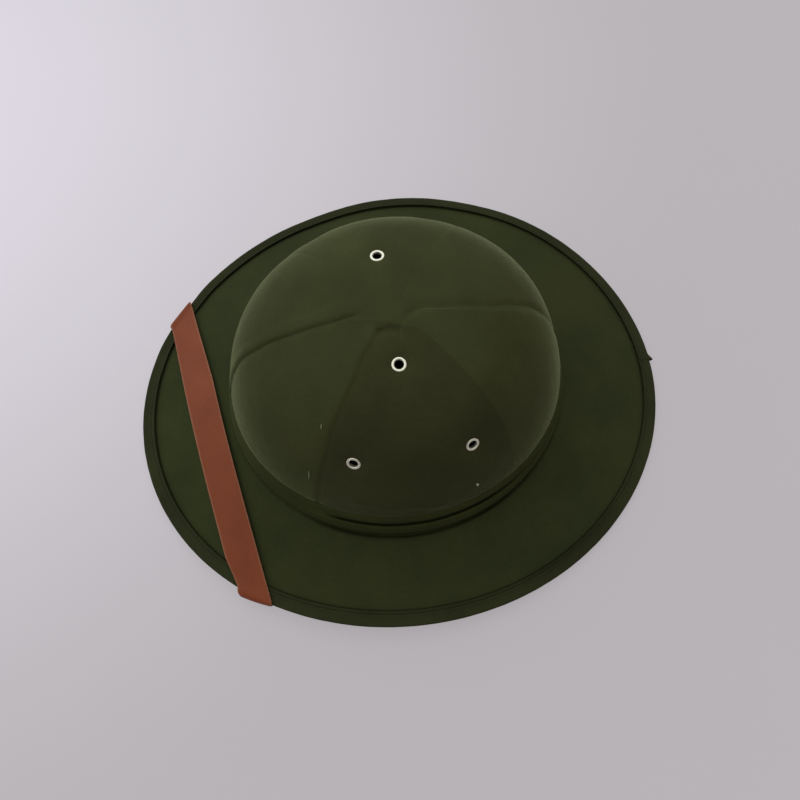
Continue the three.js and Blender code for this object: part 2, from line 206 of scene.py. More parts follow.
class CrownSettings(bpy.types.PropertyGroup):
    """The crown: six gores of cloth on a stiff dome."""
    half_length: length("Half length", "From its middle to its front", (BACK_HIGH.y - FRONT_LOW.y) / 2)
    half_width: length("Half width", "From the crown's middle to its side", -SIDE_LOW.x)
    middle_y: length("Middle", "How far back the crown's middle lies", (BACK_HIGH.y + FRONT_LOW.y) / 2)
    foot: length("Foot", "Height of the crown's foot", FRONT_LOW.z)
    welt_height: length("Welt height", "How far a lapped seam stands up", 0.0005)
    top: length("Top", "Height of the crown's top between its welts", FRONT_HIGH.z - SOLID_WELT)
    wall: length("Wall", "Thickness of the crown", 0.0024)
    plan: share("Plan fullness", "Power of the profile's flat top", 3.16)
    rise: share("Rise fullness", "Power of the profile's upright wall", 1.88)
    seam_fore: angle("Front side seam", "Turn of the seam before the ear", 52.5)
    seam_aft: angle("Back side seam", "Turn of the seam behind the ear", 125.5)
    bow_front: share("Front bow", "How far a front gore stands out from an even oval", 0.016)
    bow_side: share("Side bow", "How far a side gore stands out from an even oval", -0.003)
    bow_back: share("Back bow", "How far a back gore stands out from an even oval", 0.014)
    hub_shift: place("Hub shift", "How far off the middle the gores were sewn together", (0.0075, -0.0043))
    hub_reach: length("Hub reach", "Distance from the middle at which the seams run true again", 0.018)
    welt_width: length("Welt width", "Width of the fold beside a seam", 0.009)
    groove_depth: length("Groove depth", "How far the cloth turns down into a seam", 0.0007)
    shade: colour("Shade", "Darker tone of the crown's cloth", "#2e301c")
    tone: colour("Tone", "Lighter tone of the crown's cloth", "#3b3e24")
    # The left side gore's darker, browner tones are painted shade: a darker copy of the crown's cloth on the
    # side away from the light
    side_painted_shade: colour("Side shade", "Darker tone of the left side gore, cut from a browner piece", "#2a2b1a")
    side_painted_tone: colour("Side tone", "Lighter tone of that gore", "#363721")
    # Painted shade: the crown's cloth is made darker towards the band, where the band and the brim shut out
    # light
    painted_foot_shade: share("Painted foot shade", "How much darker the crown's cloth is at the band", 0.16)
    painted_foot_shade_low: length("Painted foot shade low", "Height below which the cloth is darkest", 0.058)
    painted_foot_shade_high: length("Painted foot shade high", "Height above which it is clean", 0.080)
    # The pale thread also stands for two painted highlights on a seam
    thread: colour("Loose thread", "Colour of the loose thread ends", "#a2a28a")


class BandSettings(bpy.types.PropertyGroup):
    """The band wound round the crown's foot."""
    height: length("Height", "From the brim to the band's upper edge", 0.026)
    thickness: length("Thickness", "How far the band's roll stands out", 0.003)
    shade: colour("Shade", "Darker tone of the band's cloth", "#282b16")
    tone: colour("Tone", "Lighter tone of the band's cloth", "#34381d")


class BrimSettings(bpy.types.PropertyGroup):
    """The sloping brim."""
    half_length: length("Half length", "From the middle to the brim's front edge", BRIM_HIGH.y)
    half_width: length("Half width", "From the middle to the brim's side edge", BRIM_HIGH.x)
    wall: length("Wall", "Thickness of the brim", 0.0022)
    lip: length("Lip", "Width of the flat edge under the tape", 0.004)
    flare: share("Flare", "How far the slope sags below a straight line", 0.15)
    side_lift: length("Side lift", "How far the rim is lifted at the sides", 0.0078)
    lift_power: share("Lift power", "How sharply the lift is gathered at the sides", 2.4)
    twist: length("Twist", "How far the rim is twisted out of true", 0.0037)
    room_lift: length("Strap room", "Room left under the rim where the strap passes", 0.0018)
    room_turn: angle("Strap room turn", "Turn of that room", -38)
    room_half_turn: angle("Strap room half turn", "Half its width", 18)
    room_slope: share("Strap room slope", "How steeply it opens", 1.6)
    moat: length("Moat", "How far the brim dips under the band's roll", 0.0034)
    moat_width: length("Moat width", "How wide that dip is", 0.0013)
    seam_dip: length("Seam dip", "How far the brim dips along the tape's inner edge", 0.0011)
    seam_dip_width: length("Seam dip width", "How wide that dip is", 0.0009)
    seam_dip_turn: angle("Seam dip turn", "Turn at which that dip is deepest and widest", -60)
    shade: colour("Shade", "Darker tone of the brim's cloth", "#262a19")
    tone: colour("Tone", "Lighter tone of the brim's cloth", "#32361e")


class TapeSettings(bpy.types.PropertyGroup):
    """The tape folded over the rim."""
    width: length("Width", "How far the tape reaches in from the rim", 0.0074)
    drift: length("Drift", "How much wider it is on the wearer's left, and narrower on the right", 0.0007)
    thickness: length("Thickness", "Thickness of the folded tape at the rim", 0.0007)
    edge: share("Edge", "Thickness at the tape's upper inner edge as a share of that", 2.6)
    edge_lift: length("Edge lift", "How far the tape's inner edge stands off the brim", 0.0003)
    draw: length("Draw", "How far the stitches draw the tape down", 0.0006)
    draw_width: length("Draw width", "How wide the drawn line is", 0.0004)
    stitch_inset: length("Stitch inset", "Distance of the stitches from the tape's inner edge", 0.0019)
    stitch_pitch: length("Stitch pitch", "Distance from one stitch to the next", 0.0032)
    lap_turn: angle("Lap turn", "Turn at which the tape's folded end stops", 178.4)
    lap_length: length("Lap length", "How far the end laps over the start", 0.029)
    lap_ease: length("Lap ease", "Length over which the tape thins out beside the lap", 0.008)
    lap_start: share("Lap start", "Thickness of the tape's start as a share of the whole", 0.65)
    lap_end: share("Lap end", "Thickness of the tape's end as a share of the whole", 0.3)
    lap_corner: length("Lap corner", "How far the end's corner stands out past the rim", 0.0026)
    corner_length: length("Corner length", "Length over which that corner leaves the rim", 0.0052)
    shade: colour("Shade", "Darker tone of the tape", "#222416")
    tone: colour("Tone", "Lighter tone of the tape", "#30321e")
    thread: colour("Thread", "Colour of the stitching", "#14170b")


class StrapSettings(bpy.types.PropertyGroup):
    """The chin strap, worn up over the front of the brim."""
    width: length("Width", "Width of the strap", 0.0202)
    thickness: length("Thickness", "Thickness of the leather", 0.0011)
    edge: length("Edge", "Width of the pared edge", 0.0013)
    pared: length("Pared", "How far the edge is pared down", 0.00025)
    chord_y: length("Chord", "Where the strap's middle crosses the centre line", -0.1245)
    skew: angle("Skew", "How far the strap slants", 7.4)
    end_x: length("End across", "Where the strap's ends are riveted, across", 0.098)
    end_y: length("End along", "Where the strap's ends are riveted, along", -0.022)
    slack_left: length("Left slack", "How far the front edge stands off the rim at the left fold", 0.0040)
    slack_right: length("Right slack", "How far the front edge stands off the rim at the right fold", 0.0010)
    pinch_back: length("Back pinch", "How far the back edge is drawn in at the right fold", 0.0038)
    pinch_back_length: length("Back pinch length", "Length over which it is drawn in", 0.070)
    pinch_front: length("Front pinch", "How far the front edge is drawn in at the left fold", 0.0030)
    pinch_front_length: length("Front pinch length", "Length over which it is drawn in", 0.015)
    standoff: length("Standoff", "How far the strap stands off the brim's slope", 0.0020)
    shade: colour("Shade", "Darker tone of the leather", "#652d19")
    tone: colour("Tone", "Lighter tone of the leather", "#7e4026")
    worn: colour("Worn edge", "Tone of the rubbed edges", "#8a644d")


class VentSettings(bpy.types.PropertyGroup):
    """The eyelets and the strap's rivets."""
    flange: length("Flange", "Outer radius of an eyelet", 0.0039)
    bore: length("Bore", "Radius of an eyelet's hole", 0.0024)
    rise: length("Rise", "How far an eyelet's rolled rim stands up", 0.00075)
    seat: length("Seat", "How far an eyelet is sunk into the cloth", 0.0016)
    dimple: length("Dimple", "How far the cloth is drawn in round an eyelet", 0.0021)
    dimple_width: length("Dimple width", "How wide that hollow is", 0.0056)
    metal_wall: length("Metal wall", "Thickness of an eyelet's tube", 0.0004)
    tail: length("Tail", "How far an eyelet reaches inside the crown", 0.0009)
    rivet_radius: length("Rivet radius", "Radius of a rivet's head", 0.0036)
    rivet_height: length("Rivet height", "Height of a rivet's head", 0.0011)
    rivet_from_end: length("Rivet place", "Distance of a rivet from the strap's end", 0.009)
    metal: colour("Metal", "Colour of the metal", "#d8d4c5")


class StageSettings(bpy.types.PropertyGroup):
    """The floor, the light and the camera."""
    azimuth: angle("Azimuth", "Direction that the camera looks from", 79.63)
    elevation: angle("Elevation", "Height angle of the camera", 69.636)
    distance: length("Distance", "From the camera to the middle of the rim", 0.52)
    lens: FloatProperty(name="Lens", description="Focal length", default=35.12, unit="CAMERA")
    aim: place("Aim", "Point at the middle of the picture", (0.0015, -0.0007, -0.0006))
    floor: colour("Floor", "Colour of the floor's surface", "#625f63")
    glow: colour("Glow", "Colour of the light that comes through the floor", "#f6f0f5")
    glow_strength: share("Glow strength", "Strength of that light", 0.382)
    # The bright spot is a painted pool of light in the floor's own glow
    spot: colour("Bright spot", "Colour of the floor's brightest place", "#f4eefa")
    spot_strength: share("Bright spot strength", "Strength of the light there", 0.67)
    spot_at: place("Bright spot place", "Middle of the floor's brightest place", (-0.30, -0.50, 0))
    spot_near: length("Bright spot core", "How far from its middle it is brightest", 0.10)
    spot_reach: length("Bright spot reach", "How far from its middle the floor is even again", 0.59)
    spot_squash: share("Bright spot squash", "Its length along the helmet as a share of that across", 0.75)
    backdrop: colour("Backdrop", "Colour of the plain wall behind the floor", "#c9c5c9")
    sky: colour("Sky", "Colour of the light on the bright side", "#edf6f4")
    sky_strength: share("Sky strength", "Strength of the light on the bright side", 1.80)
    dusk: colour("Dusk", "Colour of the light on the dim side", "#f6ece2")
    dusk_strength: share("Dusk strength", "Strength of the light on the dim side", 0.07)
    light_way: way("Light way", "Way towards the middle of the bright side", (-0.73, -0.47, 0.50))
    fill_strength: share("Fill strength", "Strength of the fainter light from behind the helmet", 0.48)
    fill_way: way("Fill way", "Way towards the middle of that light", (0.34, 0.91, 0.22))


class HelmetSettings(bpy.types.PropertyGroup):
    """All settings of the helmet."""
    crown: PointerProperty(type=CrownSettings)
    band: PointerProperty(type=BandSettings)
    brim: PointerProperty(type=BrimSettings)
    tape: PointerProperty(type=TapeSettings)
    strap: PointerProperty(type=StrapSettings)
    vents: PointerProperty(type=VentSettings)
    stage: PointerProperty(type=StageSettings)


# Plain helpers

def clamp(value):
    return min(max(value, 0.0), 1.0)


def mix(start, end, part):
    return start + (end - start) * part


def ease(value, low, high):
    """0 at low, 1 at high and smooth between them."""
    part = clamp((value - low) / (high - low))
    return part * part * (3 - 2 * part)


def bump(distance, width):
    """A soft hump: 1 at no distance, and nearly nothing past twice the width."""
    return math.exp(-(distance / width) ** 2)


def along_curve(points, part):
    """A smooth curve through points, part of the way along it."""
    last = len(points) - 1
    knot = min(int(part * last), last - 1)
    step = part * last - knot
    before, start, end, after = (Vector(points[min(max(knot + i, 0), last)]) for i in (-1, 0, 1, 2))
    leave, arrive = (end - before) / 2, (after - start) / 2
    chord = end - start
    bent = 3 * chord - 2 * leave - arrive + step * (leave + arrive - 2 * chord)
    return start + step * (leave + step * bent)


def along_table(table, value):
    """Smooth steps through a table of (place, height) rows."""
    for (low, start), (high, end) in zip(table, table[1:]):
        if value <= high:
            return mix(start, end, ease(value, low, high))
    return table[-1][1]


def running_lengths(spots):
    """Length of the way through points, up to each of them."""
    lengths = [0.0]
    for low, high in zip(spots, spots[1:]):
        lengths.append(lengths[-1] + (high - low).length)
    return lengths


def on_ring(turn, height=0.0):
    """A place on a ring of radius 1, where noise meets itself after a full turn."""
    return Vector((math.cos(turn), math.sin(turn), height))


def unevenness(spot, size):
    """Smooth noise between -1 and 1 with lumps of about the given size."""
    return noise.noise(spot / size)


# The crown's and the brim's forms, which everything else is laid on

class CrownForm:
    """The crown's outer face, at a turn and at a climb from 0 at the foot to a right angle at the top."""

    def __init__(self, crown):
        self.half_width = crown.half_width
        self.half_length = crown.half_length
        self.middle_y = crown.middle_y
        self.foot = crown.foot
        self.tall = crown.top - crown.foot
        self.plan = crown.plan
        self.rise = crown.rise
        self.hub_shift = Vector((*crown.hub_shift, 0))
        self.hub_reach = crown.hub_reach
        seams = ((0.0, "front"), (crown.seam_fore, "fore_left"), (math.pi, "back"))
        self.swaying = [(turn, SEAM_SWAY[name]) for turn, name in seams]
        self.bows = (
            (0.0, crown.seam_fore, crown.bow_front),
            (crown.seam_fore, crown.seam_aft, crown.bow_side),
            (crown.seam_aft, math.pi, crown.bow_back),
        )

    def bow(self, turn):
        """How far a gore stands out from an even oval: nothing at a seam, most at its middle."""
        off = abs(math.remainder(turn, FULL_TURN))
        start, end, most = next((row for row in self.bows if off <= row[1]), self.bows[-1])
        part = (off - start) / (end - start)
        return most * 4 * part * (1 - part)

    def climb_of_height(self, height):
        return math.asin((height / self.tall) ** (self.rise / 2))

    def climb_of_reach(self, reach):
        return math.acos(reach ** (self.plan / 2))

    def reach(self, climb):
        """Distance from the middle as a share of the foot's."""
        return max(math.cos(climb), 0.0) ** (2 / self.plan)

    def up(self, climb):
        """Height above the foot as a share of the crown's."""
        return max(math.sin(climb), 0.0) ** (2 / self.rise)

    def height(self, climb):
        return self.tall * self.up(climb)

    def radius(self, turn, climb):
        """How far a whole radian of turn would go along the face."""
        round_foot = math.hypot(self.half_width * math.cos(turn), self.half_length * math.sin(turn))
        return self.reach(climb) * round_foot

    def sway(self, turn, reach):
        """How far the cloth is drawn sideways, towards a larger turn, by a seam that doesn't run true."""
        drawn = 0.0
        for seam_turn, table in self.swaying:
            off = math.remainder(turn - seam_turn, FULL_TURN)
            if abs(off) < 2 * SWAY_HALF_TURN:
                drawn += along_table(table, reach) * bump(off, SWAY_HALF_TURN)
        return drawn

    def point(self, turn, climb, out=0.0):
        reach = self.reach(climb)
        bowed = reach * (1 + self.bow(turn) * math.sqrt(math.sin(climb)))
        spot = Vector((self.half_width * bowed * math.sin(turn), -self.half_length * bowed * math.cos(turn),
                       self.foot + self.height(climb)))
        sideways = Vector((self.half_width * math.cos(turn), self.half_length * math.sin(turn), 0))
        spot += self.sway(turn, reach) * sideways.normalized()
        spot += self.hub_shift * (1 - ease(math.hypot(spot.x, spot.y), 0, self.hub_reach))
        spot.y += self.middle_y
        return spot + out * self.normal(turn, climb)

    def place(self, spot):
        """The turn and the climb nearest to a place on the face."""
        turn = math.atan2(spot.x / self.half_width, (self.middle_y - spot.y) / self.half_length)
        climb = self.climb_of_height(spot.z - self.foot)
        return turn - self.sway(turn, self.reach(climb)) / self.radius(turn, climb), climb

    def snap(self, spot):
        return self.point(*self.place(spot))

    def normal(self, turn, climb):
        outward = self.plan * self.reach(climb) ** (self.plan - 1)
        upward = self.rise * self.up(climb) ** (self.rise - 1)
        return Vector((outward * math.sin(turn) / self.half_width,
                       -outward * math.cos(turn) / self.half_length, upward / self.tall)).normalized()


class BrimForm:
    """The brim's middle surface, at a turn and at a distance out from its inner edge."""
    HALVINGS = 36  # steps in which a place is found

    def __init__(self, helmet):
        crown, brim = helmet.crown, helmet.brim
        self.inner = (crown.half_width - crown.wall, crown.half_length - crown.wall, crown.middle_y)
        self.outer = (brim.half_width, brim.half_length, 0.0)
        self.ledge = crown.wall + helmet.band.thickness + GAP
        self.high = crown.foot - GAP - brim.wall / 2
        self.low = GAP + SOLID_TAPE + brim.wall / 2
        self.lip = brim.lip
        self.flare = brim.flare
        self.side_lift = brim.side_lift
        self.lift_power = brim.lift_power
        self.twist = brim.twist
        self.room = (brim.room_lift, brim.room_turn, brim.room_half_turn, brim.room_slope)

    @staticmethod
    def on_oval(oval, turn):
        half_width, half_length, middle_y = oval
        return Vector((half_width * math.sin(turn), middle_y - half_length * math.cos(turn)))

    def span(self, turn):
        """Width of the brim at a turn."""
        return (self.on_oval(self.outer, turn) - self.on_oval(self.inner, turn)).length

    def lift(self, turn):
        """Height of the rim above the floor: none at the front and back, most at the sides."""
        side = abs(math.sin(turn))
        sides = self.side_lift * side ** self.lift_power + self.twist * math.sin(2 * turn) * side
        lift, middle, half_turn, slope = self.room
        off = abs(math.remainder(turn - middle, FULL_TURN)) / half_turn
        return max(0.0, sides, lift * clamp(slope * (1 - off)))

    def height(self, turn, out):
        part = clamp((out - self.ledge) / (self.span(turn) - self.lip - self.ledge))
        return mix(self.high, self.low + self.lift(turn), part + self.flare * part * (1 - part))

    @staticmethod
    def drawn_in(turn):
        """How far the rim is drawn in from an even oval at a turn."""
        degrees = math.degrees(turn)
        return sum(dent["depth"] * bump(math.remainder(degrees - dent["turn"], 360), dent["half_turn"])
                   for dent in RIM_DENTS)

    def point(self, turn, out):
        part = out / self.span(turn)
        drawn = self.drawn_in(turn) * ease(part, DENTS_FROM, 1) / self.span(turn)
        plan = self.on_oval(self.inner, turn).lerp(self.on_oval(self.outer, turn), part - drawn)
        return Vector((plan.x, plan.y, self.height(turn, out)))

    def place(self, x, y):
        """The turn and the distance out at a place seen from above."""
        near, far = 0.0, 2.0
        turn = 0.0
        for _ in range(self.HALVINGS):
            part = (near + far) / 2
            half_width, half_length, middle_y = (mix(a, b, part) for a, b in zip(self.inner, self.outer))
            wide, long = x / half_width, (y - middle_y) / half_length
            turn = math.atan2(wide, -long)
            if math.hypot(wide, long) > 1:
                near = part
            else:
                far = part
        return turn, near * self.span(turn)


# Shaping flat sheets

def sheet(columns, rows):
    """A flat grid over the unit square."""
    bm = bmesh.new()
    bmesh.ops.create_grid(bm, x_segments=columns, y_segments=rows, size=0.5)
    bmesh.ops.translate(bm, verts=bm.verts, vec=(0.5, 0.5, 0))
    return bm


def lay_cloth(bm, measure):
    """Gives a sheet a UV map in metres: measure turns a place on the unit square into lengths of cloth."""
    layer = bm.loops.layers.uv.new("cloth")
    for face in bm.faces:
        for loop in face.loops:
            loop[layer].uv = measure(loop.vert.co.x, loop.vert.co.y)


def thicken(bm, ring=False):
    """Doubles a sheet into a slab whose outer face is at z = 1; a ring has no walls at its two ends."""
    doubled = bmesh.ops.extrude_face_region(bm, geom=bm.faces[:], use_keep_orig=True)
    raised = [item for item in doubled["geom"] if isinstance(item, bmesh.types.BMVert)]
    bmesh.ops.translate(bm, verts=raised, vec=(0, 0, 1))
    if ring:
        ends = [f for f in bm.faces if len({round(v.co.x, SHEET_DIGITS) for v in f.verts}) == 1]
        bmesh.ops.delete(bm, geom=ends, context="FACES_ONLY")


def bend(bm, lay):
    """Moves every vertex from its place in the slab to its place in space."""
    for vert in bm.verts:
        vert.co = lay(*vert.co)


def soften_edges(bm, width, segments):
    """Rounds every sharp edge."""
    sharp = [e for e in bm.edges if e.is_manifold and e.calc_face_angle() > BEVELLED]
    bmesh.ops.bevel(bm, geom=sharp, offset=width, offset_type="OFFSET", affect="EDGES", segments=segments,
                    profile=0.5, material=-1, clamp_overlap=True)


def add_piece(name, bm, material, slot, *nodes):
    """Closes a mesh, makes it an object on the helmet's one body, and hides the solids that it stands for."""
    bmesh.ops.remove_doubles(bm, verts=bm.verts, dist=MERGE)
    bmesh.ops.recalc_face_normals(bm, faces=bm.faces)
    mesh = bpy.data.meshes.new(name)
    bm.to_mesh(mesh)
    bm.free()
    mesh.shade_smooth()
    mesh.set_sharp_from_angle(angle=SHADED_SHARP)
    mesh.materials.append(material)
    piece = bpy.data.objects.new(name, mesh)
    bpy.context.scene.collection.objects.link(piece)
    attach(piece, "root")
    if nodes:
        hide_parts(*nodes)


def seat_matrix(spot, facing, along=None):
    """Stands a shape's +Z along facing, and its +X along another way where one is given."""
    up = facing.normalized()
    if along is None:
        turned = up.to_track_quat("Z", "Y").to_matrix()
    else:
        side = up.cross(along).normalized()
        turned = Matrix((side.cross(up), side, up)).transposed()
    return Matrix.Translation(spot) @ turned.to_4x4()


def spun(profile, steps, seat):
    """Spins a closed or axis-to-axis profile of (radius, height) points round +Z and seats it."""
    bm = bmesh.new()
    rim = [bm.verts.new((radius, 0, height)) for radius, height in profile]
    edges = [bm.edges.new(pair) for pair in zip(rim, rim[1:] + rim[:1])]
    bmesh.ops.spin(bm, geom=rim + edges, cent=(0, 0, 0), axis=(0, 0, 1), angle=FULL_TURN, steps=steps,
                   use_merge=True)
    bmesh.ops.transform(bm, verts=bm.verts, matrix=seat)
    return bm


def add_stitch(bm, spot, facing, along, size):
    """One stitch: a small bead of thread drawn out along the seam."""
    shape = Matrix.Diagonal((size[0] / 2, size[1] / 2, size[2] / 2, 1))
    bmesh.ops.create_icosphere(bm, subdivisions=1, radius=1, matrix=seat_matrix(spot, facing, along) @ shape)


# Materials

MIX_A, MIX_B, MIX_RESULT = 6, 7, 2  # sockets of a Mix node that mixes colours
FOLD_DEPTH = 0.016  # how near other cloth must lie for the painted shade in a fold to darken a place

# Distance between threads as they are drawn, and the strength of the pale bloom on each cloth
WEAVE = {"drill": 0.0010, "tape": 0.0008}
SHEEN = {"crown": 0.40, "band": 0.03, "brim": 0.12, "tape": 0.10}
# Strength of the painted shade in the band's folds
BAND_PAINTED_SHADE = 0.6

# Sizes of the patterns in the materials
GRAIN = {
    "slubs": 0.0022, "dye": 0.045, "plies": 0.0005, "pores": 0.0008, "clouds": 0.03, "fibres": 0.0025,
    "rubs": 0.0005, "mottle": 0.06,
}
RAGGED = 0.0012  # how far the rubbed edge of the leather wanders
FLOOR_MASK = (0.86, 0.97)  # shares of the rim's oval between which the floor begins to glow; inside them it is darker, a painted shadow under the helmet


def feed(tree, node, values):
    """Links the outputs among the values to a node's inputs, and writes the numbers and colours on them."""
    for socket, value in values.items():
        if isinstance(value, bpy.types.NodeSocket):
            tree.links.new(value, node.inputs[socket])
        else:
            node.inputs[socket].default_value = value


def add_node(tree, kind, values=None, **settings):
    """Adds a node with its settings and feeds its inputs."""
    node = tree.nodes.new(kind)
    for name, value in settings.items():
        setattr(node, name, value)
    feed(tree, node, values or {})
    return node


def new_material(name):
    """A material's tree, its Principled shader and its coordinates."""
    material = bpy.data.materials.new(name)
    material.use_nodes = True
    tree = material.node_tree
    return material, tree, tree.nodes["Principled BSDF"], add_node(tree, "ShaderNodeTexCoord").outputs


def band_scale(spacing):
    """Scale of a Wave texture whose bands lie the given distance apart."""
    return math.pi / 10 / spacing


def cotton_drill(name, shade, tone, weave, sheen, painted_fold_shade=0.0, painted_foot_shade=None):
    """Woven cotton drill, dyed in the piece: a matt cloth with a fine weave, a soft bloom at its turning
    edges, slightly uneven dye, painted shade that darkens its folds, and painted shade towards its foot. The
    threads lie about 0.4 mm apart; they are drawn coarser so that they show."""
    material, tree, shader, coords = new_material(name)
    cloth, space = coords["UV"], coords["Object"]
    threads = [
        add_node(tree, "ShaderNodeTexWave",
                 {"Vector": cloth, "Scale": band_scale(weave), "Distortion": 0.6, "Detail": 1.0,
                  "Detail Scale": 0.6}, bands_direction=axis)
        for axis in ("X", "Y")
    ]
    woven = add_node(tree, "ShaderNodeMath", {i: thread.outputs["Fac"] for i, thread in enumerate(threads)},
                     operation="MAXIMUM")
    slubs = add_node(tree, "ShaderNodeTexNoise",
                     {"Vector": cloth, "Scale": 1 / GRAIN["slubs"], "Detail": 2.0, "Roughness": 0.6})
    dye = add_node(tree, "ShaderNodeTexNoise",
                   {"Vector": space, "Scale": 1 / GRAIN["dye"], "Detail": 4.0, "Roughness": 0.6})
    depth = add_node(tree, "ShaderNodeMath", {0: woven.outputs[0], 1: slubs.outputs["Fac"]}, operation="ADD")
    spread = add_node(tree, "ShaderNodeMapRange",
                      {"Value": dye.outputs["Fac"], "From Min": 0.3, "From Max": 0.7,
                       "To Min": 0.15, "To Max": 0.85})
    body = add_node(tree, "ShaderNodeMix", {0: spread.outputs[0], MIX_A: list(shade), MIX_B: list(tone)},
                    data_type="RGBA")
    speckle = add_node(tree, "ShaderNodeMapRange",
                       {"Value": depth.outputs[0], "From Min": 0.6, "From Max": 1.5,
                        "To Min": 0.86, "To Max": 1.1})
    painted_shades = []
    # Painted shade in folds: darker where other cloth lies within the fold depth
    if painted_fold_shade:
        open_air = add_node(tree, "ShaderNodeAmbientOcclusion", {"Distance": FOLD_DEPTH}, samples=6)
        painted_shades.append(add_node(tree, "ShaderNodeMapRange",
                               {"Value": open_air.outputs["AO"], "From Min": 0.2, "To Min": 1 - painted_fold_shade}))
    # Painted shade towards the crown's foot: darker below one height, even above another
    if painted_foot_shade:
        deep, low, high = painted_foot_shade
        height = add_node(tree, "ShaderNodeSeparateXYZ", {0: space})
        painted_shades.append(add_node(tree, "ShaderNodeMapRange",
                               {"Value": height.outputs["Z"], "From Min": low, "From Max": high,
                                "To Min": 1 - deep}, interpolation_type="SMOOTHSTEP"))
    value = speckle
    for painted_shade in painted_shades:
        value = add_node(tree, "ShaderNodeMath", {0: value.outputs[0], 1: painted_shade.outputs[0]},
                         operation="MULTIPLY")
    hue = add_node(tree, "ShaderNodeHueSaturation",
                   {"Color": body.outputs[MIX_RESULT], "Value": value.outputs[0]})
    relief = add_node(tree, "ShaderNodeBump",
                      {"Height": depth.outputs[0], "Strength": 0.35, "Distance": 0.00025})
    feed(tree, shader, {
        "Base Color": hue.outputs["Color"], "Normal": relief.outputs["Normal"], "Roughness": 0.9,
        "Specular IOR Level": 0.05, "Sheen Weight": sheen, "Sheen Roughness": 0.25,
        "Sheen Tint": hex_to_linear("#d3dca8"),
    })
    return material


def sewing_thread(name, tone):
    """Twisted cotton thread: matt, with the fine diagonal light and dark of its plies, about 0.25 mm apart,
    drawn at twice that."""
    material, tree, shader, coords = new_material(name)
    plies = add_node(tree, "ShaderNodeTexWave",
                     {"Vector": coords["Object"], "Scale": band_scale(GRAIN["plies"]), "Distortion": 1.0},
                     bands_direction="DIAGONAL")
    lit = add_node(tree, "ShaderNodeMapRange", {"Value": plies.outputs["Fac"], "To Min": 0.75, "To Max": 1.2})
    hue = add_node(tree, "ShaderNodeHueSaturation", {"Color": list(tone), "Value": lit.outputs[0]})
    feed(tree, shader, {"Base Color": hue.outputs["Color"], "Roughness": 0.75, "Specular IOR Level": 0.2,
                        "Sheen Weight": 0.1})
    return material


def strap_leather(strap):
    """Vegetable-tanned strap leather, dyed red-brown and rubbed: pores about 0.8 mm apart, cloudy dye, a low
    wax shine, and edges worn paler."""
    material, tree, shader, coords = new_material("veg_tanned_strap_leather")
    hide, space = coords["UV"], coords["Object"]
    pores = add_node(tree, "ShaderNodeTexVoronoi",
                     {"Vector": hide, "Scale": 1 / GRAIN["pores"], "Randomness": 0.9})
    clouds = add_node(tree, "ShaderNodeTexNoise",
                      {"Vector": space, "Scale": 1 / GRAIN["clouds"], "Detail": 5.0})
    fibres = add_node(tree, "ShaderNodeTexNoise",
                      {"Vector": hide, "Scale": 1 / GRAIN["fibres"], "Detail": 3.0})
    spread = add_node(tree, "ShaderNodeMapRange",
                      {"Value": clouds.outputs["Fac"], "From Min": 0.3, "From Max": 0.7,
                       "To Min": 0.3, "To Max": 0.7})
    body = add_node(tree, "ShaderNodeMix",
                    {0: spread.outputs[0], MIX_A: list(strap.shade), MIX_B: list(strap.tone)},
                    data_type="RGBA")
    across = add_node(tree, "ShaderNodeSeparateXYZ", {0: hide})
    off = add_node(tree, "ShaderNodeMath", {0: across.outputs["X"]}, operation="ABSOLUTE")
    ragged = add_node(tree, "ShaderNodeMath", {0: fibres.outputs["Fac"], 1: RAGGED, 2: off.outputs[0]},
                      operation="MULTIPLY_ADD")
    rubbed = add_node(tree, "ShaderNodeMapRange",
                      {"Value": ragged.outputs[0], "From Min": strap.width / 2 - strap.edge + RAGGED / 2,
                       "From Max": strap.width / 2 + RAGGED / 2, "To Max": 0.6})
    worn = add_node(tree, "ShaderNodeMix",
                    {0: rubbed.outputs[0], MIX_A: body.outputs[MIX_RESULT], MIX_B: list(strap.worn)},
                    data_type="RGBA")
    grain = add_node(tree, "ShaderNodeMath", {0: pores.outputs["Distance"], 1: fibres.outputs["Fac"]},
                     operation="ADD")
    relief = add_node(tree, "ShaderNodeBump",
                      {"Height": grain.outputs[0], "Strength": 0.3, "Distance": 0.0002})
    shine = add_node(tree, "ShaderNodeMapRange",
                     {"Value": fibres.outputs["Fac"], "From Min": 0.3, "From Max": 0.7,
                      "To Min": 0.46, "To Max": 0.62})
    feed(tree, shader, {"Base Color": worn.outputs[MIX_RESULT], "Roughness": shine.outputs[0],
                        "Normal": relief.outputs["Normal"], "Specular IOR Level": 0.12})
    return material


def stamped_metal(tone):
    """Stamped aluminium with a dull oxide skin: pale, hardly shining, with fine rubbing marks about 0.5 mm
    across."""
    material, tree, shader, coords = new_material("dull_stamped_aluminium")
    rubs = add_node(tree, "ShaderNodeTexNoise",
                    {"Vector": coords["Object"], "Scale": 1 / GRAIN["rubs"], "Detail": 2.0}).outputs["Fac"]
    blur = add_node(tree, "ShaderNodeMapRange", {"Value": rubs, "To Min": 0.34, "To Max": 0.5})
    dull = add_node(tree, "ShaderNodeMapRange", {"Value": rubs, "To Min": 0.88, "To Max": 1.06})
    hue = add_node(tree, "ShaderNodeHueSaturation", {"Color": list(tone), "Value": dull.outputs[0]})
    feed(tree, shader, {"Base Color": hue.outputs["Color"], "Roughness": blur.outputs[0], "Metallic": 0.9})
    return material


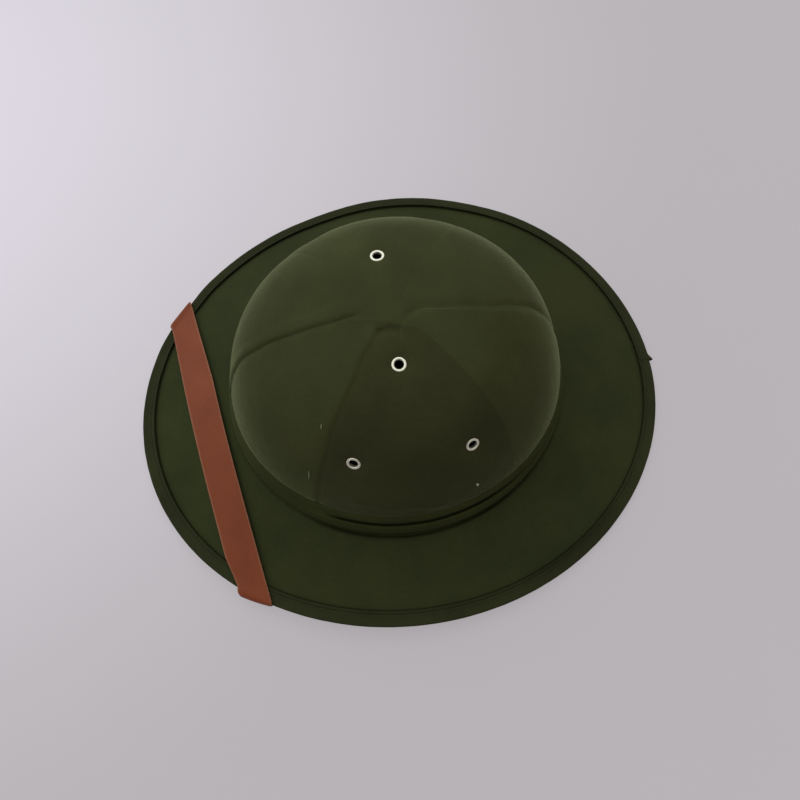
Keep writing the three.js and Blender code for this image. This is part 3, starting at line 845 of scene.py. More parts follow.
def glowing_floor(stage, brim):
    """Frosted acrylic with a glow of its own: an even, shadowless floor, with a painted pool of light in one
    corner, painted shadow under the helmet where the glow is masked off, and a faint mottle a few centimetres
    across."""
    material, tree, shader, coords = new_material("glowing_floor_with_painted_pool")
    spot = coords["Object"]
    mottle = add_node(tree, "ShaderNodeTexNoise",
                      {"Vector": spot, "Scale": 1 / GRAIN["mottle"], "Detail": 3.0})
    lit = add_node(tree, "ShaderNodeMapRange",
                   {"Value": mottle.outputs["Fac"], "To Min": 0.97, "To Max": 1.03})
    hue = add_node(tree, "ShaderNodeHueSaturation", {"Color": list(stage.floor), "Value": lit.outputs[0]})
    # A painted pool of light: the glow is stronger round one place on the floor
    squash = (1, stage.spot_squash, 1)
    spread = add_node(tree, "ShaderNodeVectorMath", {0: spot, 1: squash}, operation="MULTIPLY")
    away = add_node(tree, "ShaderNodeVectorMath",
                    {0: spread.outputs[0], 1: Vector(stage.spot_at) * Vector(squash)}, operation="DISTANCE")
    near = add_node(tree, "ShaderNodeMapRange",
                    {"Value": away.outputs["Value"], "From Min": stage.spot_near,
                     "From Max": stage.spot_reach, "To Min": 1.0, "To Max": 0.0},
                    interpolation_type="SMOOTHSTEP")
    glow = add_node(tree, "ShaderNodeMix",
                    {0: near.outputs[0], MIX_A: list(stage.glow), MIX_B: list(stage.spot)}, data_type="RGBA")
    power = add_node(tree, "ShaderNodeMapRange",
                     {"Value": near.outputs[0], "To Min": stage.glow_strength, "To Max": stage.spot_strength})
    # Painted shadow under the helmet: the glow is turned off inside the rim's oval
    oval = add_node(tree, "ShaderNodeVectorMath",
                    {0: spot, 1: (1 / brim.half_width, 1 / brim.half_length, 0)}, operation="MULTIPLY")
    out = add_node(tree, "ShaderNodeVectorMath", {0: oval.outputs[0]}, operation="LENGTH")
    clear = add_node(tree, "ShaderNodeMapRange",
                     {"Value": out.outputs["Value"], "From Min": FLOOR_MASK[0], "From Max": FLOOR_MASK[1]})
    shown = add_node(tree, "ShaderNodeMath", {0: power.outputs[0], 1: clear.outputs[0]}, operation="MULTIPLY")
    feed(tree, shader, {
        "Base Color": hue.outputs["Color"], "Emission Color": glow.outputs[MIX_RESULT],
        "Emission Strength": shown.outputs[0], "Roughness": 0.8, "Specular IOR Level": 0.2,
    })
    return material


# Crown

GORE_CELL = 0.00115  # size of a mesh cell at a gore's foot
GORE_LENGTH = 0.155  # about how long a gore is from foot to top
GORE_CROWDING = {"across": 1.5, "up": 1.3}  # how much closer the cells lie at the lapped edge and at the top
# Low lumps that the cloth is left with where it is stretched over the crown
GORE_LUMPS = ({"depth": 0.00018, "size": 0.024}, {"depth": 0.00008, "size": 0.008})
HOLE_CLEARANCE = 0.0003  # room between an eyelet's tube and the edge of its hole
HOLE_TURN = 0.2  # how far to either side of a vent its hole is looked for
HOLE_PASSES = 4  # rounds in which a hole's edge is drawn to its circle
LAP_SHOULDER = 0.0030  # width of the rounded edge of a lapped seam
WELT_FADE = 0.005  # height over which the seams come out of the band
MERIDIAN_STEPS = 400  # steps up a gore's middle by which its length is measured


def gores(crown):
    """The six gores in order, each with its part, its side, and its first and last seam."""
    fore, aft = crown.seam_fore, crown.seam_aft
    turns = ((-math.pi, "back"), (-aft, "aft_right"), (-fore, "fore_right"), (0.0, "front"),
             (fore, "fore_left"), (aft, "aft_left"), (math.pi, "back"))
    seams = [{"turn": turn, **SEAMS[name]} for turn, name in turns]
    names = (("back", "right"), ("side", "right"), ("front", "right"), ("front", "left"), ("side", "left"),
             ("back", "left"))
    for (part, side), first, last in zip(names, seams, seams[1:]):
        yield part, side, first, last


def vent_seats(form, side):
    """Turn and climb of each vent on a side."""
    return {vent["name"]: (SIDES[side] * math.radians(vent["turn"]), form.climb_of_reach(vent[side]))
            for vent in VENTS}


def gore_rows(form, turn, rows):
    """Climb and length up the gore for each row, crowded towards the top."""
    climbs = [RIGHT_ANGLE * (1 - (1 - i / MERIDIAN_STEPS) ** 2) for i in range(MERIDIAN_STEPS + 1)]
    lengths = running_lengths([form.point(turn, climb) for climb in climbs])
    found = []
    for row in range(rows + 1):
        wanted = lengths[-1] * (1 - (1 - row / rows) ** GORE_CROWDING["up"])
        above = min(max(bisect.bisect_left(lengths, wanted), 1), MERIDIAN_STEPS)
        part = (wanted - lengths[above - 1]) / (lengths[above] - lengths[above - 1])
        found.append((mix(climbs[above - 1], climbs[above], part), wanted))
    return found


def gore_relief(form, helmet, turn, climb, first, last, vents):
    """How far the gore's cloth stands out from the plain dome; its last edge laps over the next gore's
    first."""
    crown = helmet.crown
    spot = form.point(turn, climb)
    radius = form.radius(turn, climb)
    to_groove = (turn - first["turn"]) * radius
    to_lap = (last["turn"] - turn) * radius
    groove_shows, lap_shows = (seam["shows"] * ease(radius, seam["from_hub"] / 2, seam["from_hub"])
                               for seam in (first, last))
    shoulder = math.sqrt(1 - (1 - clamp(to_lap / LAP_SHOULDER)) ** 2)
    rising = ease(form.height(climb), helmet.band.height, helmet.band.height + WELT_FADE)
    welt = (1 - ease(to_lap, LAP_SHOULDER, crown.welt_width)) * shoulder * rising
    out = lap_shows * (last["stands"] * crown.welt_height * welt
                       - crown.groove_depth * bump(to_lap, last["before"]))
    out -= groove_shows * crown.groove_depth * bump(to_groove, first["after"])
    out += sum(lump["depth"] * unevenness(spot, lump["size"]) for lump in GORE_LUMPS)
    for seat in vents:
        out -= helmet.vents.dimple * bump((spot - seat).length, helmet.vents.dimple_width)
    for crease in CREASES:
        start, end = Vector(crease["start"]), Vector(crease["end"])
        _, along = intersect_point_line(spot, start, end)
        nearest = start.lerp(end, clamp(along))
        out -= crease["depth"] * bump((spot - nearest).length, crease["width"])
    return out


def cut_holes(bm, form, seats, radius):
    """Opens a round hole at each seat in a sheet whose x is a turn and whose y is a climb."""
    for turn, climb in seats:
        middle = form.point(turn, climb)

        def away(co):
            return (form.point(co.x, co.y) - middle).length

        near = [f for f in bm.faces if abs(f.calc_center_median().x - turn) < HOLE_TURN]
        inside = [f for f in near if away(f.calc_center_median()) < radius]
        bmesh.ops.delete(bm, geom=inside, context="FACES")
        edge = [v for v in bm.verts if v.is_boundary and abs(v.co.x - turn) < HOLE_TURN]
        hub = Vector((turn, climb, 0))
        for vert in [v for v in edge if away(v.co) < 2 * radius]:
            for _ in range(HOLE_PASSES):
                vert.co = hub + (vert.co - hub) * (radius / away(vert.co))


def crown_gore(form, helmet, part, side, first, last):
    """One gore: a sheet in turns and climbs, pierced, thickened and bent over the dome."""
    start, end = first["turn"], last["turn"]
    middle = (start + end) / 2
    columns = round((end - start) * form.radius(middle, 0) / GORE_CELL)
    rows = round(GORE_LENGTH / GORE_CELL)
    steps = gore_rows(form, middle, rows)

    def turn_at(x):
        return end - (end - start) * (1 - x) ** GORE_CROWDING["across"]

    def measure(x, y):
        climb, up = steps[round(y * rows)]
        return (turn_at(x) - middle) * form.radius(middle, climb), up

    bm = sheet(columns, rows)
    lay_cloth(bm, measure)
    bend(bm, lambda x, y, z: (turn_at(x), steps[round(y * rows)][0], 0))
    seats = list(vent_seats(form, side).values()) if part == "side" else []
    cut_holes(bm, form, seats, helmet.vents.bore + helmet.vents.metal_wall + HOLE_CLEARANCE)
    thicken(bm)
    vents = [form.point(*seat) for seat in seats]

    def lay(turn, climb, outer):
        if outer < 0.5:
            return form.point(turn, climb, -helmet.crown.wall)
        return form.point(turn, climb, gore_relief(form, helmet, turn, climb, first, last, vents))

    bend(bm, lay)
    return bm


class HELMET_OT_crown(bpy.types.Operator):
    """Build the six gores of the crown, with a few bits of pale thread, two of them painted highlights on a
    seam
    """
    bl_idname = "helmet.crown"
    bl_label = "Crown"

    def execute(self, context):
        helmet = context.scene.sun_helmet
        crown = helmet.crown
        form = CrownForm(crown)
        # Painted shade on the crown's cloth towards the band
        painted_foot_shade = (crown.painted_foot_shade, crown.painted_foot_shade_low, crown.painted_foot_shade_high)
        # The left side gore takes a darker copy of the cloth, painted shade on the side away from the light
        cloth, browner = (
            cotton_drill(name, shade, tone, WEAVE["drill"], SHEEN["crown"], painted_foot_shade=painted_foot_shade)
            for name, shade, tone in (("dyed_cotton_drill_crown", crown.shade, crown.tone),
                                      ("cotton_drill_side_in_painted_shade", crown.side_painted_shade, crown.side_painted_tone)))
        for part, side, first, last in gores(crown):
            bm = crown_gore(form, helmet, part, side, first, last)
            cover = browner if (part, side) == ("side", "left") else cloth
            add_piece(f"crown_gore_{part}_{side}", bm, cover, "crown_cloth", f"crown_panel_{part}_{side}")
        self.threads_and_painted_glints(crown, form)
        return {"FINISHED"}

    @staticmethod
    def threads_and_painted_glints(crown, form):
        """Short pale bits of thread, half sunk in the cloth; the two on the seam are painted highlights where
        its ridge catches the light.
        """
        bm = bmesh.new()
        for thread in THREADS_AND_PAINTED_GLINTS:
            start, end = (form.snap(Vector(thread[key])) for key in ("start", "end"))
            turn, climb = form.place((start + end) / 2)
            along = end - start
            size = (along.length, thread["width"], thread["width"])
            add_stitch(bm, form.point(turn, climb, crown.welt_height), form.normal(turn, climb), along, size)
        add_piece("threads_and_painted_glints", bm, sewing_thread("pale_thread_and_painted_glint", crown.thread), "crown_cloth")


# Band

BAND_STEPS = {"round": 320, "up": 60}
BAND_TAPER = {"foot": 0.95, "top": 0.05, "from": 0.1}  # thickness of the band where it is pressed smooth
BAND_WANDER = {"depth": 0.0007, "lumps": 2.2}  # how far the folds wander up and down on their way round
BAND_RIPPLE = {"depth": 0.00015, "lumps": 9, "tall": 0.012}  # fine unevenness of its cloth
BAND_THINNEST = 3 * HUG  # distance out from the crown that the band always keeps


def crispness(turn):
    """How crisply the band is folded at a turn."""
    return along_table(BAND_CRISP, math.degrees(math.remainder(turn, FULL_TURN)))


def band_face(band, turn, part):
    """Distance out from the crown and height, part of the way up the band's cloth. Where the band isn't crisp
    it only tapers."""
    crisp = crispness(turn)
    round_hat = on_ring(turn)
    size = Vector((band.thickness, band.height))
    folded = along_curve(BAND_SECTION, part) * size
    wander = BAND_WANDER["depth"] * noise.noise(BAND_WANDER["lumps"] * round_hat)
    folded.y += wander * math.sin(math.pi * part)
    thick = mix(BAND_TAPER["foot"], BAND_TAPER["top"], ease(part, BAND_TAPER["from"], 1))
    smooth = Vector((thick, part)) * size
    lumps = BAND_RIPPLE["lumps"] * round_hat + Vector((0, 0, folded.y / BAND_RIPPLE["tall"]))
    ripple = BAND_RIPPLE["depth"] * noise.noise(lumps)
    out, height = smooth.lerp(folded, crisp)
    return max(out + ripple, BAND_THINNEST), clamp(height / band.height) * band.height


class HELMET_OT_band(bpy.types.Operator):
    """Build the wound band round the crown's foot"""
    bl_idname = "helmet.band"
    bl_label = "Band"

    def execute(self, context):
        helmet = context.scene.sun_helmet
        band = helmet.band
        form = CrownForm(helmet.crown)

        def lay(x, y, outer):
            turn = x * FULL_TURN
            out, height = band_face(band, turn, y) if outer > 0.5 else (HUG, y * band.height)
            spot = form.point(turn, form.climb_of_height(height), out)
            spot.z -= (GAP - HUG) * (1 - height / band.height)
            return spot

        bm = sheet(BAND_STEPS["round"], BAND_STEPS["up"])
        lay_cloth(bm, lambda x, y: (x * FULL_TURN * helmet.crown.half_length, y * band.height))
        thicken(bm, ring=True)
        bend(bm, lay)
        # The band's folds are darkened by painted shade where its cloth lies near other cloth
        cloth = cotton_drill("dyed_cotton_drill_band", band.shade, band.tone, WEAVE["drill"], SHEEN["band"],
                             painted_fold_shade=BAND_PAINTED_SHADE)
        add_piece("wound_band", bm, cloth, "band_cloth", "crown_band")
        return {"FINISHED"}


# Brim

BRIM_STEPS = {"round": 320, "out": 84}
BRIM_CROWDING = 0.75  # how much closer the rows lie beside the tape
BRIM_THINNEST = 0.0004  # thickness left under a dip that is nearly as deep as the brim
BRIM_LUMPS = {"depth": 0.0003, "size": 0.045}
BRIM_UNEVEN = {"from": (0.1, 0.3), "until": (0.7, 0.85)}  # shares of the way out where lumps set in and fade
SEAM_DIP_LEAST = 0.5  # depth of the dip along the tape where it is shallowest, as a share
SEAM_DIP_SPREAD = (-0.3, 0.6)  # cosines of the turns between which it deepens


class HELMET_OT_brim(bpy.types.Operator):
    """Build the cloth-covered brim"""
    bl_idname = "helmet.brim"
    bl_label = "Brim"

    def execute(self, context):
        helmet = context.scene.sun_helmet
        brim = helmet.brim
        form = BrimForm(helmet)

        def part_out(y):
            return y + BRIM_CROWDING * (1 - math.cos(FULL_TURN * y)) / FULL_TURN

        def spot_at(x, y):
            turn = x * FULL_TURN
            return form.point(turn, part_out(y) * form.span(turn))

        def lay(x, y, outer):
            spot = spot_at(x, y)
            turn = x * FULL_TURN
            part = part_out(y)
            spot.z += (outer - 0.5) * brim.wall
            lumpy = ease(part, *BRIM_UNEVEN["from"]) * (1 - ease(part, *BRIM_UNEVEN["until"]))
            spot.z += BRIM_LUMPS["depth"] * unevenness(spot, BRIM_LUMPS["size"]) * lumpy
            past_tape = (1 - part) * form.span(turn) - tape_width(helmet.tape, turn)
            past_roll = part * form.span(turn) - form.ledge + brim.moat_width / 2
            deep = mix(SEAM_DIP_LEAST, 1, ease(math.cos(turn - brim.seam_dip_turn), *SEAM_DIP_SPREAD))
            dip = brim.seam_dip * deep * bump(past_tape, brim.seam_dip_width * deep)
            dip += brim.moat * crispness(turn) * bump(past_roll, brim.moat_width)
            spot.z -= dip if outer > 0.5 else max(dip - brim.wall + BRIM_THINNEST, 0.0)
            return spot

        bm = sheet(BRIM_STEPS["round"], BRIM_STEPS["out"])
        lay_cloth(bm, lambda x, y: spot_at(x, y).xy)
        thicken(bm, ring=True)
        bend(bm, lay)
        cloth = cotton_drill("dyed_cotton_drill_brim", brim.shade, brim.tone, WEAVE["drill"], SHEEN["brim"])
        add_piece("covered_brim", bm, cloth, "brim_cloth", "brim")
        return {"FINISHED"}


# Edge tape and its stitching

TAPE_STEPS = {"along": 660, "across": 62}
TAPE_RUNS = {"top": 0.62, "under": 0.76}  # shares of the section where the fold round the rim starts and ends
TAPE_WHOLE = 2.2  # whole width of the tape as a share of what shows on one face
TAPE_SWELL = 0.00025  # how far it stands full between the rim and the stitches
TAPE_RIPPLE = {"depth": 0.00012, "lumps": 24, "calmed": 0.5}  # less of it along the stitches
TAPE_EDGE_RIPPLE = {"share": 0.4, "lumps": 14}
STITCH = {"length": 0.0023, "width": 0.00055, "height": 0.00045, "sunk": 0.00045, "slant": math.radians(7)}


def tape_width(tape, turn):
    """How far the tape reaches in from the rim at a turn."""
    return tape.width + tape.drift * math.sin(turn)


def tape_pared(tape, inward):
    """Thickness of the tape's upper side as a share of that at the rim."""
    return mix(1, tape.edge, ease(inward, tape.width / 3, tape.width))


def tape_section(width, part, inside):
    """Across the folded tape: distance beyond the brim's edge, height from its middle, and the way it
    faces."""
    top, under = TAPE_RUNS["top"], TAPE_RUNS["under"]
    if part < top:
        return -width * (1 - part / top), inside, (0.0, 1.0)
    if part > under:
        return -width * (part - under) / (1 - under), -inside, (0.0, -1.0)
    lean = math.pi * (0.5 - (part - top) / (under - top))
    return HUG * math.cos(lean), inside * math.sin(lean), (math.cos(lean), math.sin(lean))


def tape_relief(tape, inward, turn, over):
    """Height of the tape's face: full between rim and stitches, drawn down along the stitches."""
    stitched = tape_width(tape, turn) - tape.stitch_inset
    full = TAPE_SWELL * math.sin(math.pi * clamp(inward / stitched))
    drawn = tape.draw * bump(inward - stitched, tape.draw_width)
    round_rim = on_ring(turn, over)
    ripple = TAPE_RIPPLE["depth"] * noise.noise(round_rim * TAPE_RIPPLE["lumps"])
    return full - drawn + ripple * (1 - TAPE_RIPPLE["calmed"] * ease(inward, 0, stitched))


def tape_edge(tape, inward, turn, over):
    """How far the tape's free inner edge stands off the brim."""
    width = tape_width(tape, turn)
    round_rim = on_ring(turn, over)
    ripple = TAPE_EDGE_RIPPLE["share"] * noise.noise(round_rim * TAPE_EDGE_RIPPLE["lumps"])
    return tape.edge_lift * ease(inward, width - tape.stitch_inset / 2, width) * (1 + ripple)


class HELMET_OT_edge_tape(bpy.types.Operator):
    """Build the tape folded over the rim, with its lapped end, and the stitching that holds it"""
    bl_idname = "helmet.edge_tape"
    bl_label = "Edge Tape"

    def execute(self, context):
        helmet = context.scene.sun_helmet
        tape = helmet.tape
        form = BrimForm(helmet)
        inside = helmet.brim.wall / 2 + HUG
        girth = FULL_TURN * (helmet.brim.half_length + helmet.brim.half_width) / 2
        whole = girth + tape.lap_length
        overlap = tape.lap_length / helmet.brim.half_width

        def lay(x, y, outer):
            turn = tape.lap_turn + overlap - (FULL_TURN + overlap) * x
            left = (1 - x) * whole
            gone = x * whole
            beyond, height, facing = tape_section(tape_width(tape, turn), y, inside)
            pared = tape_pared(tape, -beyond) if facing[1] > 0 else 1.0
            starting = 1 - ease(gone, tape.lap_length, tape.lap_length + tape.lap_ease)
            ending = 1 - ease(left, tape.lap_length, tape.lap_length + tape.lap_ease)
            thin = 1 - starting * (1 - tape.lap_start) - ending * (1 - tape.lap_end)
            lift = ending * (tape.thickness * tape.lap_start * pared + 2 * HUG)
            corner = tape.lap_corner * (1 - ease(left, 0, tape.corner_length)) * max(facing[0], 0.0)
            relief = tape_relief(tape, -beyond, turn, facing[1])
            out = lift + outer * tape.thickness * thin * pared + (outer + ending * (1 - outer)) * relief
            out += tape_edge(tape, -beyond, turn, facing[1])
            spot = form.point(turn, form.span(turn) + beyond + out * facing[0] + corner)
            spot.z = max(spot.z + height + out * facing[1], 0.0)
            return spot

        bm = sheet(TAPE_STEPS["along"], TAPE_STEPS["across"])
        lay_cloth(bm, lambda x, y: (x * whole, y * TAPE_WHOLE * tape.width))
        thicken(bm)
        bend(bm, lay)
        cloth = cotton_drill("dyed_cotton_tape", tape.shade, tape.tone, WEAVE["tape"], SHEEN["tape"])
        add_piece("rim_tape", bm, cloth, "tape_cloth", "edge_tape")
        self.stitch(tape, form, girth, inside)
        return {"FINISHED"}

    @staticmethod
    def stitch(tape, form, girth, inside):
        """A row of stitches on the tape's upper and under faces."""
        bm = bmesh.new()
        count = round(girth / tape.stitch_pitch)
        size = (STITCH["length"], STITCH["width"], STITCH["height"])
        pared = tape_pared(tape, tape.width - tape.stitch_inset)
        rises = {face: inside + tape.thickness * thick - STITCH["sunk"]
                 for face, thick in ((1, pared), (-1, 1.0))}
        for i in range(count):
            turn = FULL_TURN * i / count
            out = form.span(turn) - tape_width(tape, turn) + tape.stitch_inset
            spot = form.point(turn, out)
            along = form.point(turn + NUDGE_TURN, out) - spot
            inward = form.point(turn, out - NUDGE) - spot
            facing = along.cross(inward).normalized()
            facing *= math.copysign(1, facing.z)
            slanted = Matrix.Rotation(STITCH["slant"], 3, facing) @ along
            for face, rise in rises.items():
                add_stitch(bm, spot + Vector((0, 0, face * rise)), facing * face, slanted, size)
        add_piece("tape_stitching", bm, sewing_thread("waxed_cotton_thread", tape.thread), "tape_cloth")


# Chin strap

STRAP_STEPS = {"over": 120, "nose": 14, "under": 40, "across": 16}
STRAP_SEAT = {"lip": 0.07, "seat": 0.8}  # shares of the hidden run between which it is straight
STRAP_RAMP = (0.003, 0.013)  # distances past the tape between which the strap changes its height
STRAP_CORNER = 0.0022  # width of the rounded corner where the front edge stands off the rim
STRAP_BEVEL = {"width": 0.00022, "segments": 2}


class StrapForm:
    """The strap's middle surface, laid over the brim, folded round the rim and run to its rivets."""

    def __init__(self, helmet):
        strap, tape = helmet.strap, helmet.tape
        self.brim = BrimForm(helmet)
        self.width = strap.width
        self.way = Vector((math.cos(strap.skew), math.sin(strap.skew)))
        self.chord_y = strap.chord_y
        self.end = Vector((strap.end_x, strap.end_y))
        self.slack = {1: strap.slack_left, -1: strap.slack_right}
        self.pinch = {1: (strap.pinch_front, strap.pinch_front_length),
                      -1: (strap.pinch_back, strap.pinch_back_length)}
        self.tape_width = tape.width + tape.drift
        self.past_tape = {face: helmet.brim.wall / 2 + 2 * HUG + tape.thickness * thick + strap.thickness / 2
                          for face, thick in ((1, tape.edge), (-1, 1.0))}
        self.over_brim = helmet.brim.wall / 2 + strap.standoff + strap.thickness / 2
        self.past_rim = 2 * HUG + tape.thickness + strap.thickness / 2

    def fibre_rim(self, across, sign):
        """Where a lengthwise fibre meets the brim's edge on a side."""
        start = Vector((-self.way.y * across, self.chord_y + self.way.x * across))
        squash = Vector((1 / self.brim.outer[0], 1 / self.brim.outer[1]))
        origin, run = start * squash, self.way * squash
        middle = origin.dot(run) / run.length_squared
        reach = math.sqrt(middle ** 2 + (1 - origin.length_squared) / run.length_squared)
        rim = start + self.way * (sign * reach - middle)
        turn = math.atan2(rim.x * squash.x, -rim.y * squash.y)
        return rim - sign * self.way * self.brim.drawn_in(turn)

    def on_brim(self, x, y, face):
        turn, out = self.brim.place(x, y)
        inward = self.brim.span(turn) - out
        ramp = ease(inward, self.tape_width + STRAP_RAMP[0], self.tape_width + STRAP_RAMP[1])
        rise = mix(self.past_tape[face], self.over_brim, ramp)
        return Vector((x, y, self.brim.height(turn, out) + face * rise))

    def drawn_in(self, across, right_away, left_away):
        """Place across of a fibre: the back edge is drawn in near the right fold, the front edge near the
        left one."""
        for sign, away in ((-1, right_away), (1, left_away)):
            most, reach = self.pinch[sign]
            across += sign * most * (0.5 - sign * across / self.width) * clamp(1 - away / reach)
        return across

    def at_fold(self, across, sign):
        """Where a fibre goes round the rim on a side."""
        away = (0.0, math.inf) if sign < 0 else (math.inf, 0.0)
        return self.fibre_rim(self.drawn_in(across, *away), sign)

    def over(self, across, part):
        long = (self.fibre_rim(across, 1) - self.fibre_rim(across, -1)).length
        fibre = self.drawn_in(across, part * long, (1 - part) * long)
        plan = self.fibre_rim(fibre, -1).lerp(self.fibre_rim(fibre, 1), part)
        return self.on_brim(plan.x, plan.y, 1), Vector((0, 0, 1))

    def nose(self, across, sign, part):
        """Round the rim, its front edge standing off with a rounded corner."""
        rim = self.at_fold(across, sign)
        turn, _ = self.brim.place(rim.x, rim.y)
        lead = Vector((rim.x / self.brim.outer[0] ** 2, rim.y / self.brim.outer[1] ** 2)).normalized()
        lean = math.pi * part
        outward = Vector((lead.x * math.sin(lean), lead.y * math.sin(lean), math.cos(lean)))
        spot = Vector((rim.x, rim.y, self.brim.point(turn, self.brim.span(turn)).z))
        rise = outward.z * self.past_tape[1 if outward.z > 0 else -1]
        spot += Vector((outward.x * self.past_rim, outward.y * self.past_rim, rise))
        off = self.slack[sign] * (0.5 - across / self.width)
        cut = clamp(1 - (across + self.width / 2) / STRAP_CORNER)
        off -= min(self.slack[sign], STRAP_CORNER) * 0.5 * (1 - math.sqrt(1 - cut * cut))
        spot.xy += sign * self.way * off * math.sin(lean)
        return spot, outward

    def under(self, across, sign, part):
        """Under the brim, in a straight run to its seat by the rivet."""
        rim = self.at_fold(across, sign)
        end = Vector((sign * (self.end.x + across), self.end.y))

        def along(where):
            plan = rim.lerp(end, where)
            return self.on_brim(plan.x, plan.y, -1)

        spot = along(part)
        straight = clamp((part - STRAP_SEAT["lip"]) / (STRAP_SEAT["seat"] - STRAP_SEAT["lip"]))
        if straight < 1:
            spot.z = mix(along(0).z, along(STRAP_SEAT["seat"]).z, straight)
        return spot, Vector((0, 0, -1))

    def sections(self):
        """The strap's crosswise lines from its right end to its left one, each a function of across."""
        under = [i / STRAP_STEPS["under"] for i in range(STRAP_STEPS["under"] + 1)]
        nose = [i / STRAP_STEPS["nose"] for i in range(1, STRAP_STEPS["nose"])]
        over = [i / STRAP_STEPS["over"] for i in range(STRAP_STEPS["over"] + 1)]
        lines = [lambda c, p=p: self.under(c, -1, p) for p in reversed(under)]
        lines += [lambda c, p=p: self.nose(c, -1, p) for p in reversed(nose)]
        lines += [lambda c, p=p: self.over(c, p) for p in over]
        lines += [lambda c, p=p: self.nose(c, 1, p) for p in nose]
        lines += [lambda c, p=p: self.under(c, 1, p) for p in under]
        return lines


class HELMET_OT_chin_strap(bpy.types.Operator):
    """Build the leather chin strap"""
    bl_idname = "helmet.chin_strap"
    bl_label = "Chin Strap"

    def execute(self, context):
        helmet = context.scene.sun_helmet
        strap = helmet.strap
        lines = StrapForm(helmet).sections()
        rows = len(lines) - 1
        lengths = running_lengths([line(0.0)[0] for line in lines])

        def lay(x, y, outer):
            across = (x - 0.5) * strap.width
            spot, outward = lines[round(y * rows)](across)
            pared = strap.pared * (1 - ease(strap.width / 2 - abs(across), 0, strap.edge))
            return spot + outward * ((outer - 0.5) * strap.thickness - outer * pared)

        bm = sheet(STRAP_STEPS["across"], rows)
        lay_cloth(bm, lambda x, y: ((x - 0.5) * strap.width, lengths[round(y * rows)]))
        thicken(bm)
        bend(bm, lay)
        bmesh.ops.recalc_face_normals(bm, faces=bm.faces)
        soften_edges(bm, STRAP_BEVEL["width"], STRAP_BEVEL["segments"])
        add_piece("leather_chin_strap", bm, strap_leather(strap), "strap_leather", "chin_strap")
        return {"FINISHED"}


# Eyelets and rivets

EYELET_STEPS = 36
EYELET_ROLL = {"points": 9, "fullness": 0.6}  # a power: a flange with a lower one is flatter on top
EYELET_TAIL = {"inner": 0.0005, "turned": 0.0003, "flare": 0.0006}  # the end that is turned out inside
EYELET_BURIED = 0.0001  # how far below the flange its tube begins
# A rivet: depth and radius of its post, height of the head's upright edge, and steps of its mesh
RIVET = {"bite": 0.0013, "post": 0.0015, "brow": 0.0002, "points": 6, "steps": 24}


class HELMET_OT_eyelets(bpy.types.Operator):
    """Build the rolled eyelets of the six vents"""
    bl_idname = "helmet.eyelets"
    bl_label = "Eyelets"

    def execute(self, context):
        helmet = context.scene.sun_helmet
        form = CrownForm(helmet.crown)
        metal = stamped_metal(helmet.vents.metal)
        profile = self.profile(helmet)
        for side in SIDES:
            for name, (turn, climb) in vent_seats(form, side).items():
                seat = seat_matrix(form.point(turn, climb, -helmet.vents.seat), form.normal(turn, climb))
                bm = spun(profile, EYELET_STEPS, seat)
                add_piece(f"eyelet_{name}_{side}", bm, metal, "eyelet_metal", f"vent_{name}_{side}")
        return {"FINISHED"}

    @staticmethod
    def profile(helmet):
        """A tube with its outer end rolled over into a flat, round-edged flange and its tail turned out
        inside."""
        vents = helmet.vents
        middle = (vents.flange + vents.bore) / 2
        half = (vents.flange - vents.bore) / 2
        roll = [math.pi * i / (EYELET_ROLL["points"] - 1) for i in range(EYELET_ROLL["points"])]
        flange = [(middle + half * math.cos(a), vents.rise * max(math.sin(a), 0.0) ** EYELET_ROLL["fullness"])
                  for a in roll]
        inner, turned, flare = (EYELET_TAIL[key] for key in ("inner", "turned", "flare"))
        tail = vents.seat - helmet.crown.wall - vents.tail
        tube = vents.bore + vents.metal_wall
        flared = [(vents.bore, tail + inner), (vents.bore + turned, tail), (tube + flare, tail),
                  (tube + flare, tail + turned), (tube, tail + flare)]
        return flange + flared + [(tube, -EYELET_BURIED)]


class HELMET_OT_rivets(bpy.types.Operator):
    """Build the rivets that hold the strap's ends under the brim"""
    bl_idname = "helmet.rivets"
    bl_label = "Rivets"

    def execute(self, context):
        helmet = context.scene.sun_helmet
        vents, strap = helmet.vents, helmet.strap
        form = BrimForm(helmet)
        metal = stamped_metal(vents.metal)
        profile = self.profile(vents, strap.standoff + strap.thickness)

        def under(x, y):
            return Vector((x, y, form.height(*form.place(x, y)) - helmet.brim.wall / 2))

        for side, sign in SIDES.items():
            x = sign * strap.end_x
            y = strap.end_y - vents.rivet_from_end
            spot = under(x, y)
            facing = (under(x, y + NUDGE) - spot).cross(under(x + NUDGE, y) - spot)
            bm = spun(profile, RIVET["steps"], seat_matrix(spot, facing))
            add_piece(f"strap_rivet_head_{side}", bm, metal, "rivet_metal", f"strap_rivet_{side}")
        return {"FINISHED"}

    @staticmethod
    def profile(vents, seat):
        """A post from inside the brim and a domed head on the strap."""
        brow = seat + RIVET["brow"]
        leans = [RIGHT_ANGLE * i / RIVET["points"] for i in range(RIVET["points"])]
        post = [(0, -RIVET["bite"]), (RIVET["post"], -RIVET["bite"]), (RIVET["post"], seat)]
        dome = [(vents.rivet_radius * math.cos(a), brow + vents.rivet_height * math.sin(a)) for a in leans]
        return post + [(vents.rivet_radius, seat)] + dome + [(0, brow + vents.rivet_height)]


# Stage

FLOOR = {"radius": 4.0, "sides": 64}
CAMERA = {"sensor": 36, "nearest": 0.01}
SKY_EDGE = -0.4  # cosine of the angle from the bright side's middle at which the dim side begins


